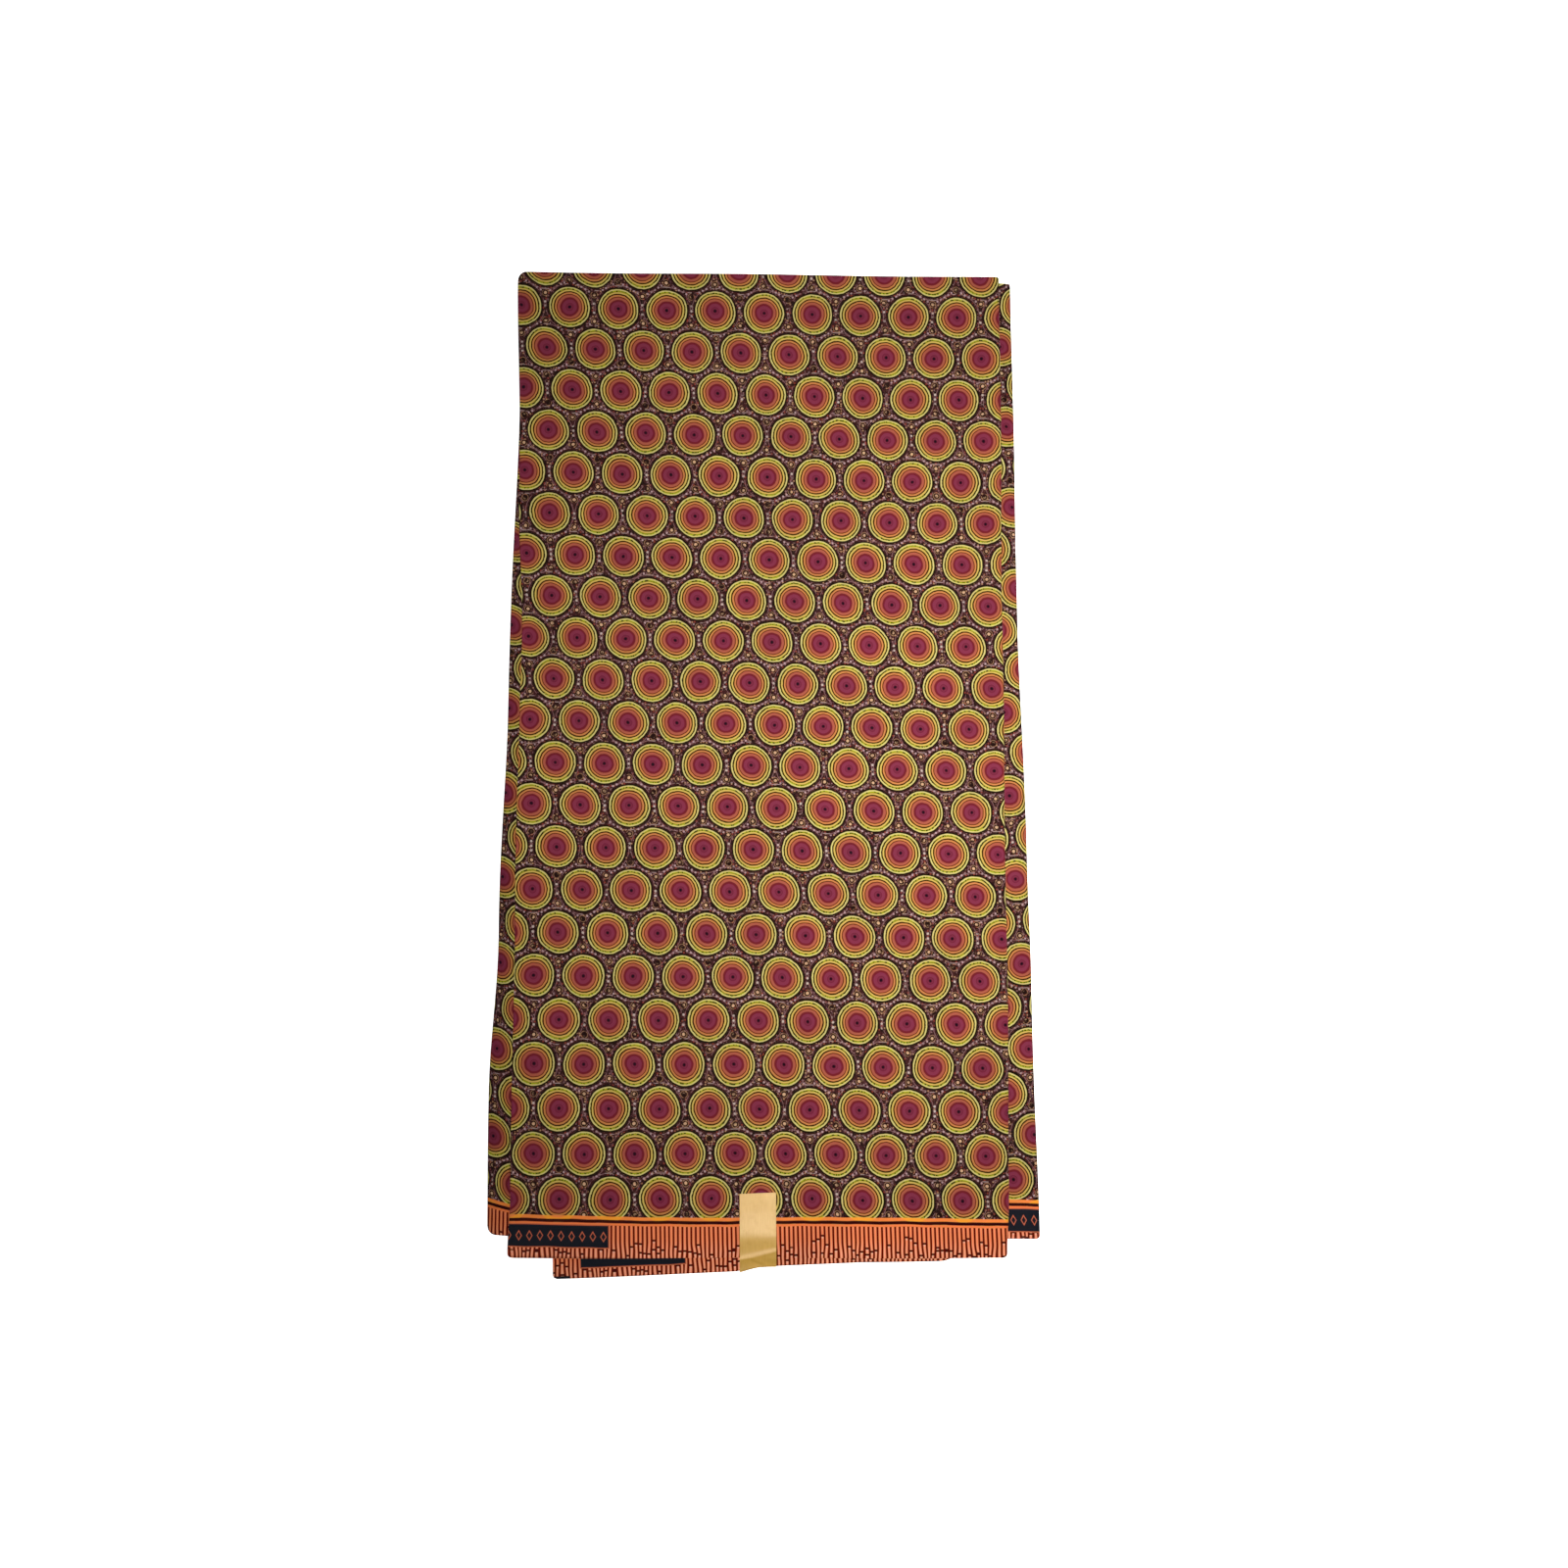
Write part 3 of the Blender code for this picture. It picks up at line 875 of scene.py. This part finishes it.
def cell(u, v):
    """Place within the nearest disc's cell, and the disc's own number."""
    found = []
    for shift_x, shift_y in ((0.0, 0.0), (0.5, ROW_REPEAT / 2.0)):
        across, up = u / PITCH - shift_x, v / PITCH - shift_y
        column, row = across.maths("ROUND"), (up / ROW_REPEAT).maths("ROUND")
        x, y = across - column, up - row * ROW_REPEAT
        found.append((x, y, x * x + y * y, point_at(column + shift_x, row + shift_y)))
    first, second = found
    closer = second[2].maths("LESS_THAN", first[2])
    place = closer.node("ShaderNodeMix", {"data_type": "VECTOR"},
                        {0: closer, 4: point_at(*first[:2]), 5: point_at(*second[:2])}, 1)
    number = closer.node("ShaderNodeMix", {"data_type": "VECTOR"},
                         {0: closer, 4: first[3], 5: second[3]}, 1)
    return place, number


def place_with(place, number):
    """A place that is different in every disc, so that no two have the same marks."""
    jump = number.node("ShaderNodeVectorMath", {"operation": "SCALE"}, {0: number, "Scale": JUMP})
    return place.node("ShaderNodeVectorMath", {"operation": "ADD"}, {0: place, 1: jump})


print("rows of discs are", round(1000 * PITCH * ROW_REPEAT / 2.0, 1), "mm apart")

# %% [markdown]
# The rings of a disc
#
# Each disc is a target of a dozen rings, dyed one after the other through wax. A
# ramp over the distance from the centre gives them all at once. The table below
# is the chart of one disc, from the centre out.

# %% Rings
Ring = namedtuple("Ring", "start stop colour")

RINGS = (
    Ring(0.000, 0.022, dye(40, 12, 30)),
    Ring(0.044, 0.060, dye(142, 50, 74)),
    Ring(0.070, 0.076, dye(128, 42, 64)),
    Ring(0.086, 0.144, dye(151, 57, 82)),
    Ring(0.155, 0.188, dye(131, 39, 50)),
    Ring(0.200, 0.239, dye(198, 102, 79)),
    Ring(0.247, 0.259, dye(116, 52, 26)),
    Ring(0.267, 0.291, dye(236, 152, 84)),
    Ring(0.298, 0.318, dye(54, 24, 0)),
    Ring(0.327, 0.349, dye(248, 210, 104)),
    Ring(0.358, 0.380, dye(68, 66, 2)),
    Ring(0.386, 0.408, dye(248, 230, 142)),
    Ring(0.417, 0.435, dye(32, 17, 5)),
)
RAMP_REACH = 0.6
DISC_EDGE = 0.441
GREEN_MIDDLE = 0.374     # the green ring between the two yellow ones
GREEN_HALF = 0.013
LIME = dye(190, 194, 34)
RING_BLACK = dye(30, 26, 8)


def disc_colour(place, reach, y):
    """The rings, with black marks in the green one and lime at its top and bottom."""
    stops = []
    for ring in RINGS:
        stops += [(ring.start / RAMP_REACH, ring.colour), (ring.stop / RAMP_REACH, ring.colour)]
    colour = reach.node("ShaderNodeValToRGB", {"stops": stops}, {0: reach / RAMP_REACH})
    in_green = near(reach, GREEN_MIDDLE, GREEN_HALF, 0.010)
    upright = y / (reach + 0.001)
    colour = painted(colour, LIME, in_green * rises(upright * upright, 0.40, 0.85))
    marks = rises(noise(place, 21.0, 1.0), 0.50, 0.56)
    return painted(colour, RING_BLACK, in_green * marks * 0.9)


print(len(RINGS), "rings, out to", round(1000 * PITCH * RINGS[-1].stop, 1), "mm")

# %% [markdown]
# The ground between the discs
#
# Between the discs runs a maroon ground full of small marks: beads, short
# squiggles that follow the discs, a chain of pale dots between neighbours and a
# dot in each gap of three discs. The marks that repeat are drawn in the cell.
# The rest comes from fine noise, which has no repeat to give it away.

# %% Dyes of the ground and steps of its dots
GROUND = dye(70, 32, 30)
GROUND_DARK = dye(38, 18, 12)
MAUVE = dye(156, 110, 112)
TAN = dye(205, 155, 112)
PALE = dye(226, 204, 192)
PEACH = dye(246, 196, 150)
RUST = dye(168, 66, 48)
MAUVE_PALE = dye(214, 176, 178)
SQUIGGLE_REACH = 0.484           # distance of the squiggles from a disc's middle, in pitches
CHAIN_STEP = 0.098
SLANT_STEP = 0.086
CHAIN_DOT = (0.030, 0.018)       # distance where a dot ends, and where it is full
SLANT_DOT = (0.027, 0.015)
PEACH_DOT = (0.038, 0.024)
DARK_PATCH = (0.060, 0.040)
GAP_Y = 1.0 / math.sqrt(12.0)    # height of the side gaps of three discs
ROW_HALF = ROW_REPEAT / 2.0

print("chains of dots have a step of", round(1000 * PITCH * CHAIN_STEP, 1), "mm")


# %% Plain ground with beads
def length(x, y):
    """Distance from the origin of a place."""
    return (x * x + y * y).maths("SQRT")


def beaded_ground(cloth):
    """Maroon with darker clouds, fine mauve lines, and beads of three colours."""
    colour = painted(GROUND, GROUND_DARK, rises(noise(cloth, 420.0, 1.0), 0.42, 0.60))
    drawn = noise(cloth, 760.0, 1.0)
    colour = painted(colour, MAUVE, near(drawn, 0.5, 0.016, 0.024) * 0.50)
    beads, kinds = (cloth.node("ShaderNodeTexVoronoi", {"voronoi_dimensions": "2D"},
                               {"Vector": cloth, "Scale": 620.0, "Randomness": 0.8}, output)
                    for output in (0, 1))
    kind, _ = split(kinds)
    shown = rises(beads, 0.36, 0.22)
    for bead, start in ((MAUVE, 0.54), (RUST, 0.70), (TAN, 0.84)):
        colour = painted(colour, bead, shown * rises(kind, start, start + 0.02))
    return colour


# %% Ground marks
def ground_colour(cloth, x, y, reach):
    """Everything between the discs, from the plain ground up to the brightest dots."""
    colour = beaded_ground(cloth)
    broken = rises(noise(cloth, 330.0), 0.36, 0.46)
    patchy = rises(noise(cloth, 210.0, 1.0), 0.34, 0.56)
    colour = painted(colour, MAUVE, near(reach, SQUIGGLE_REACH, 0.007, 0.010) * broken)
    side, high = abs(x), abs(y)
    step = high - (high / CHAIN_STEP).maths("ROUND") * CHAIN_STEP
    chain = rises(length(side - 0.5, step), *CHAIN_DOT) * rises(high, 0.18, 0.16)
    colour = painted(colour, PALE, chain * patchy)
    beyond = side * 0.5 + high * ROW_HALF - 0.5
    along = side * ROW_HALF - high * 0.5
    step = along - (along / SLANT_STEP).maths("ROUND") * SLANT_STEP
    slanted = rises(length(beyond, step), *SLANT_DOT) * rises(abs(along), 0.23, 0.21)
    colour = painted(colour, MAUVE_PALE, slanted * patchy)
    gap = length(side - 0.5, high - GAP_Y).maths("MINIMUM", length(x, high - 2.0 * GAP_Y))
    colour = painted(colour, GROUND_DARK, rises(gap, *DARK_PATCH))
    colour = painted(colour, TAN, near(gap, 0.066, 0.006, 0.009) * broken * 0.7)
    colour = painted(colour, PEACH, rises(gap, *PEACH_DOT) * patchy)
    dash = near(high, 0.489, 0.006, 0.009) * rises(side, 0.090, 0.075)
    return painted(colour, PALE, dash * broken * 0.6)


# %% [markdown]
# The selvedge
#
# Along both woven edges the print ends in a band of narrow upright stripes under
# two lines. Little dark bars join the stripes here and there. Dark boxes break the
# band, with plain lozenges on the near edge and bare on the far edge, where only a
# strip shows. Heights are counted from the woven edge, so one rule draws both.

# %% Sizes and dyes of the selvedge
STRIPE = 0.00253         # from one stripe to the next
ORANGE = 0.70            # the selvedge took more orange than the discs

Line = namedtuple("Line", "low high colour")

STRIPES_TOP = 0.0187
SELVEDGE_TOP = 0.0238
LINES = (
    Line(STRIPES_TOP, 0.0201, dye(250, 128, 70, ORANGE)),
    Line(0.0201, 0.0219, dye(60, 10, 8)),
    Line(0.0219, SELVEDGE_TOP, dye(250, 138, 64, ORANGE)),
)
STRIPE_LIGHT = dye(252, 141, 91, ORANGE)
STRIPE_PINK = dye(252, 170, 134, ORANGE)
STRIPE_DARK = dye(100, 16, 3, ORANGE)
BAR_DARK = dye(74, 14, 8, ORANGE)
BAR_GAP = dye(252, 186, 156, ORANGE)
LINE_YELLOW = dye(255, 162, 48, ORANGE)
BOX = dye(34, 37, 46)
BOX_START = -0.1475      # along the cloth
BOX_STOP = -0.0877
BOX_REPEAT = 0.350
BOX_LOW = 0.0060         # above the woven edge
BOX_HIGH = 0.0184
BOX_MIDDLE = (BOX_LOW + BOX_HIGH) / 2.0
BOX_RIM = 0.0006
LOZENGE = dye(236, 122, 84)
LOZENGE_STEP = 0.0060
LOZENGE_HALF = 0.0026
LOZENGE_SLIM = 1.7       # how much taller than wide it is
HEM_MARK = (-0.1588, 0.0050)     # middle and half length of a black mark on the far hem
HEM_LEAN = 0.0040        # the stripes lean by up to half of this at the woven edge
STRIPE_WOBBLE = 0.0003
SOFT = 0.0003            # softness of a printed edge

Bar = namedtuple("Bar", "key low high share")   # share of the stripes that have such a bar

BARS = (Bar(0.0, 0.0020, 0.0135, 0.50), Bar(5.0, 0.0015, 0.0058, 0.50))

print(round(WIDTH / STRIPE), "stripes would span the cloth's width")


# %% Stripes of the selvedge
def stripe_colour(u, height):
    """Stripes with their bars, small pale gaps and a slow lean toward the hem."""
    spread = point_at(u, height * 0.35)
    lean = rises(height, 0.010, 0.000) * (noise(spread, 95.0, 1.0) - 0.5) * HEM_LEAN
    across = (u + lean + (noise(spread, 120.0) - 0.5) * STRIPE_WOBBLE) / STRIPE
    number = across.maths("FLOOR")
    within = across - number - 0.5
    key = point_at(number, 0.0)
    colour = painted(STRIPE_LIGHT, STRIPE_PINK,
                     rises(height, 0.013, 0.001) * rises(abs(within), 0.26, 0.05))
    colour = painted(colour, STRIPE_DARK, rises(abs(within), 0.215, 0.330))
    for bar in BARS:
        level = chance(key, bar.key) * (bar.high - bar.low) + bar.low
        there = rises(chance(key, bar.key + 2.0), bar.share, bar.share - 0.01)
        colour = painted(colour, BAR_GAP, near(height - level, -0.0010, 0.00050, 0.0004)
                         * rises(abs(within), 0.24, 0.14) * there * 0.8)
        colour = painted(colour, BAR_DARK, near(height - level, 0.0, 0.00055, 0.00025)
                         * rises(abs(within), 0.46, 0.40) * there)
    return painted(colour, BAR_DARK, rises(height, 0.0007, 0.0004) * 0.35)


# %% Boxes of the selvedge
def box_mask(u, height, grow):
    """The boxes in the band, made larger or smaller by grow."""
    start, reach = BOX_START - grow, BOX_STOP - BOX_START + 2.0 * grow
    along = u - start - ((u - start) / BOX_REPEAT).maths("FLOOR") * BOX_REPEAT
    inside = near(along, reach / 2.0, reach / 2.0, SOFT)
    return inside * near(height, BOX_MIDDLE, BOX_HIGH - BOX_MIDDLE + grow, SOFT), along


def with_boxes(colour, u, height, far):
    """Dark boxes with a fine line round them. Only the first selvedge has lozenges in them."""
    rim, _ = box_mask(u, height, BOX_RIM)
    inner, along = box_mask(u, height, 0.0)
    colour = painted(painted(colour, LOZENGE, rim), BOX, inner)
    mark = near(u, *HEM_MARK, SOFT) * rises(height, 0.0016, 0.0012)
    colour = painted(colour, BOX, mark * far)
    step = along / LOZENGE_STEP
    beside_middle = abs(step - step.maths("FLOOR") - 0.5) * LOZENGE_STEP
    above_middle = abs(height - BOX_MIDDLE)
    shape = near(beside_middle * LOZENGE_SLIM + above_middle, LOZENGE_HALF, 0.00050, SOFT)
    return painted(colour, LOZENGE, shape * inner * (1.0 - far))


# %% Lines over the stripes
def with_selvedge(colour, reach, u, height, far):
    """The print above the selvedge, then its lines, stripes and boxes."""
    for line in LINES:
        middle = (line.low + line.high) / 2.0
        colour = painted(colour, line.colour, near(height, middle, line.high - middle, 0.0004))
    yellow = rises(reach, 0.31, 0.34) * rises(reach, 0.43, 0.40)
    top = LINES[-1]
    colour = painted(colour, LINE_YELLOW,
                     yellow * near(height, (top.low + top.high) / 2.0, 0.0009, 0.0004))
    stripes = rises(height, STRIPES_TOP + 0.0002, STRIPES_TOP - 0.0002)
    colour = painted(colour, stripe_colour(u, height), stripes)
    return with_boxes(colour, u, height, far)


# %% [markdown]
# The cloth itself
#
# Under the print is a plain weave of fine cotton with the wax print's smooth
# finish. Its threads are a third of a millimetre apart, so from a step away they
# only take the gloss off. Fine bump and a little roughness do that.

# %% The print in one colour
SLOW_WOBBLE = 0.0010     # how far the drawn line strays, slowly and quickly
QUICK_WOBBLE = 0.0003
LINE_WOBBLE = 0.0006


def print_colour(start, cloth, u, v):
    """Discs, ground and selvedge, drawn with the slight wobble of a hand."""
    slow = split(noise(cloth, 75.0, 0.0, 1))
    quick = split(noise(cloth, 420.0, 0.0, 1))
    drawn = [part + (slow_part - 0.5) * SLOW_WOBBLE + (quick_part - 0.5) * QUICK_WOBBLE
             for part, slow_part, quick_part in zip((u, v), slow, quick)]
    place, number = cell(*drawn)
    x, y = split(place)
    reach = length(x, y * TALLER)
    disc = disc_colour(place_with(place, number), reach, y)
    ground = ground_colour(cloth, x, y, reach)
    colour = painted(disc, ground, rises(reach, DISC_EDGE, DISC_EDGE + 0.008))
    _, line_v = split(start.node("ShaderNodeUVMap", {"uv_map": "selvedge"}, {}))
    line_v = line_v + (slow[1] - 0.5) * LINE_WOBBLE
    height = (line_v - HEM_LINE).maths("MINIMUM", FAR_LINE - line_v)
    return with_selvedge(colour, reach, u, height, rises(v, 0.2, 0.4))


# %% Wax print cotton
THREAD = 0.00034


def new_material(name):
    """An empty material, its tree and the shader in it."""
    made = bpy.data.materials.new(name)
    made.use_nodes = True
    return made, made.node_tree, made.node_tree.nodes["Principled BSDF"]


def wax_print():
    """The whole print on its cotton, as one material."""
    made, tree, shader = new_material("wax_print_cotton")
    start = Field(tree)
    cloth = start.node("ShaderNodeUVMap", {"uv_map": "print"}, {})
    u, v = split(cloth)
    colour = print_colour(start, cloth, u, v)
    faded = noise(cloth, 24.0, 3.0)
    colour = faded.node("ShaderNodeHueSaturation", {},
                        {"Value": faded * 0.24 + 0.88, "Color": colour})
    warp_thread = (u * (math.pi / THREAD)).maths("SINE")
    weft_thread = (v * (math.pi / THREAD)).maths("SINE")
    weave = warp_thread * weft_thread
    bump = weave.node("ShaderNodeBump", {}, {"Strength": 0.12, "Distance": 0.00008,
                                             "Height": weave})
    tree.links.new(colour.socket, shader.inputs["Base Color"])
    tree.links.new((faded * 0.16 + 0.60).socket, shader.inputs["Roughness"])
    tree.links.new(bump.socket, shader.inputs["Normal"])
    shader.inputs["Specular IOR Level"].default_value = 0.03
    print("wax print has", len(tree.nodes), "nodes")
    return made


cotton = wax_print()
for piece in (front_leaf, back_leaf, second_panel, third_panel, hidden_panels, bottom_panel):
    piece.data.materials.append(cotton)

# %% [markdown]
# The gold paper
#
# The label is thin paper with a satin gold face, not bare metal: it keeps its own
# warm colour where it turns from the light and pales where it mirrors the lamp.
# A low metallic share and a fine upright grain give that.

# %% Gold foil
GOLD = (0.435, 0.245, 0.034, 1.0)
GOLD_PALE = (0.475, 0.272, 0.042, 1.0)
GOLD_DEEP = (0.405, 0.220, 0.027, 1.0)
GRAIN = 0.04             # the grain is this much finer across the label than along it


def gold_foil():
    """Satin gold paper with an upright grain and faint clouds."""
    made, tree, shader = new_material("gold_foil_paper")
    foil = Field(tree).node("ShaderNodeUVMap", {"uv_map": "print"}, {})
    u, v = split(foil)
    brushed = noise(point_at(u, v * GRAIN), 3200.0, 2.0)
    clouds = noise(foil, 260.0, 2.0)
    colour = painted(GOLD, GOLD_PALE, rises(brushed, 0.35, 0.65))
    colour = painted(colour, GOLD_DEEP, rises(clouds, 0.50, 0.75) * 0.5)
    bump = brushed.node("ShaderNodeBump", {}, {"Strength": 0.06, "Distance": 0.00006,
                                               "Height": brushed + clouds})
    tree.links.new(colour.socket, shader.inputs["Base Color"])
    tree.links.new((clouds * 0.10 + 0.38).socket, shader.inputs["Roughness"])
    tree.links.new(bump.socket, shader.inputs["Normal"])
    shader.inputs["Metallic"].default_value = 0.05
    print("gold foil has", len(tree.nodes), "nodes")
    return made


foil_label.data.materials.append(gold_foil())

# %% [markdown]
# From dressed pieces to a part
#
# Each piece rides on the imported model and stands for the solid that it dresses.
# The script also works out how large the same cloth is when it is cut and laid flat,
# which shows whether the folds hold as much cloth as they should.

# %% Ride and replace
for piece, node, slot in ((front_leaf, "front_leaf", "wax_print"),
                          (back_leaf, "back_leaf", "wax_print"),
                          (second_panel, "second_panel", "wax_print"),
                          (third_panel, "third_panel", "wax_print"),
                          (hidden_panels, "folded_core", "inner_layers"),
                          (bottom_panel, "bottom_panel", "wax_print"),
                          (foil_label, "foil_label", "gold_foil")):
    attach(piece, "root")
    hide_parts(node)
    print(piece.name, "dresses", node)


# %% Real sizes of the sheets
def flat_size(columns, rows):
    """Width and length of a piece once it is unfolded, along its middle row and column."""
    middle_row, middle_column = rows[len(rows) // 3], columns[len(columns) // 3]
    along = [place(column, middle_row)[0] for column in columns]
    across = [place(middle_column, row)[0] for row in rows]
    return tuple(sum((end - start).length for start, end in zip(line, line[1:]))
                 for line in (across, along))


for piece, columns, rows, below in (
        (front_leaf, front_columns, front_rows, "back_leaf_cloth"),
        (back_leaf, back_columns, back_rows, "second_panel_cloth"),
        (second_panel, second_columns, side_rows, "third_panel_cloth"),
        (third_panel, third_columns, side_rows, "hidden_panels_cloth"),
        (hidden_panels, hidden_columns, hidden_rows, "bottom_panel_cloth"),
        (bottom_panel, bottom_columns, hidden_rows, "floor")):
    width, length_along = flat_size(columns, rows)
    print(piece.name, "is cut", round(width, 3), "by", round(length_along, 3), "m")

# %% [markdown]
# Paper, light and camera
#
# The pack was laid on white paper and lit until the paper lost its own shade. A
# large sheet that also gives off some light does the same, and what it gives off
# is kept from the cloth. A long soft box overhead lights the face evenly and is
# mirrored in the gold label. A small window at the right lifts the lower strips.

# %% White paper
PAPER_GAP = 0.0002       # the paper lies just under the pack
PAPER_WHITE = (0.9, 0.9, 0.9, 1.0)
LAMP_WHITE = (1.0, 1.0, 1.0, 1.0)
PAPER_HALF = 3.0

bm = bmesh.new()
bmesh.ops.create_grid(bm, x_segments=1, y_segments=1, size=PAPER_HALF)
bmesh.ops.translate(bm, verts=bm.verts, vec=(0.0, 0.0, -PAPER_GAP))
mesh = bpy.data.meshes.new("floor")
bm.to_mesh(mesh)
bm.free()
floor = bpy.data.objects.new("floor", mesh)
bpy.context.scene.collection.objects.link(floor)
paper, _, paper_shader = new_material("white_paper")
for socket, value in (("Base Color", PAPER_WHITE), ("Roughness", 0.9),
                      ("Emission Color", LAMP_WHITE), ("Emission Strength", 0.85)):
    paper_shader.inputs[socket].default_value = value
floor.data.materials.append(paper)
floor.visible_diffuse = floor.visible_glossy = False
print("paper is", 2.0 * PAPER_HALF, "m wide")

# %% Lights
world = bpy.data.worlds.new("studio")
world.use_nodes = True
sky = world.node_tree.nodes["Background"]
sky.inputs["Color"].default_value, sky.inputs["Strength"].default_value = LAMP_WHITE, 0.31
bpy.context.scene.world = world
bpy.context.scene.view_settings.view_transform = "Standard"


def soft_lamp(name, spot, target, width, depth, watts, spread=180.0):
    """A soft box that faces a target. A spread below 180 degrees acts as its grid."""
    lamp = bpy.data.lights.new(name, "AREA")
    lamp.shape, lamp.size, lamp.size_y, lamp.energy = "RECTANGLE", width, depth, watts
    lamp.spread = math.radians(spread)
    held = bpy.data.objects.new(name, lamp)
    aim = Vector(target) - Vector(spot)
    turn = aim.to_track_quat("-Z", "Y").to_matrix().to_4x4()
    held.matrix_world = Matrix.Translation(spot) @ turn
    bpy.context.scene.collection.objects.link(held)
    print(name, "is", round(aim.length, 2), "m from the cloth")


soft_lamp("overhead_box", (0.080, 0.018, 1.72), (0.080, 0.018, 0.0), 0.12, 0.62, 1.29, 27.5)
soft_lamp("side_window", (0.62, -0.10, 0.45), (0.10, 0.05, 0.0), 0.30, 0.30, 1.75)

# %% [markdown]
# The camera
#
# The picture was taken from above the lower left part of the pack, looking almost
# straight down, with a lens that keeps the edges nearly parallel. The tilt was
# found from the rows of discs, which draw together a little toward the top.

# %% Camera
CAMERA_SPOT = (-0.0326, -0.1573, 1.2879)
CAMERA_TILT = (math.radians(6.5), math.radians(-2.0), 0.0)

camera_data = bpy.data.cameras.new("camera")
camera_data.lens, camera_data.sensor_width = 50.0, 36.0
camera = bpy.data.objects.new("camera", camera_data)
camera.location, camera.rotation_euler = CAMERA_SPOT, CAMERA_TILT
bpy.context.scene.collection.objects.link(camera)
bpy.context.scene.camera = camera
print("camera is", round(CAMERA_SPOT[2], 2), "m above the paper")
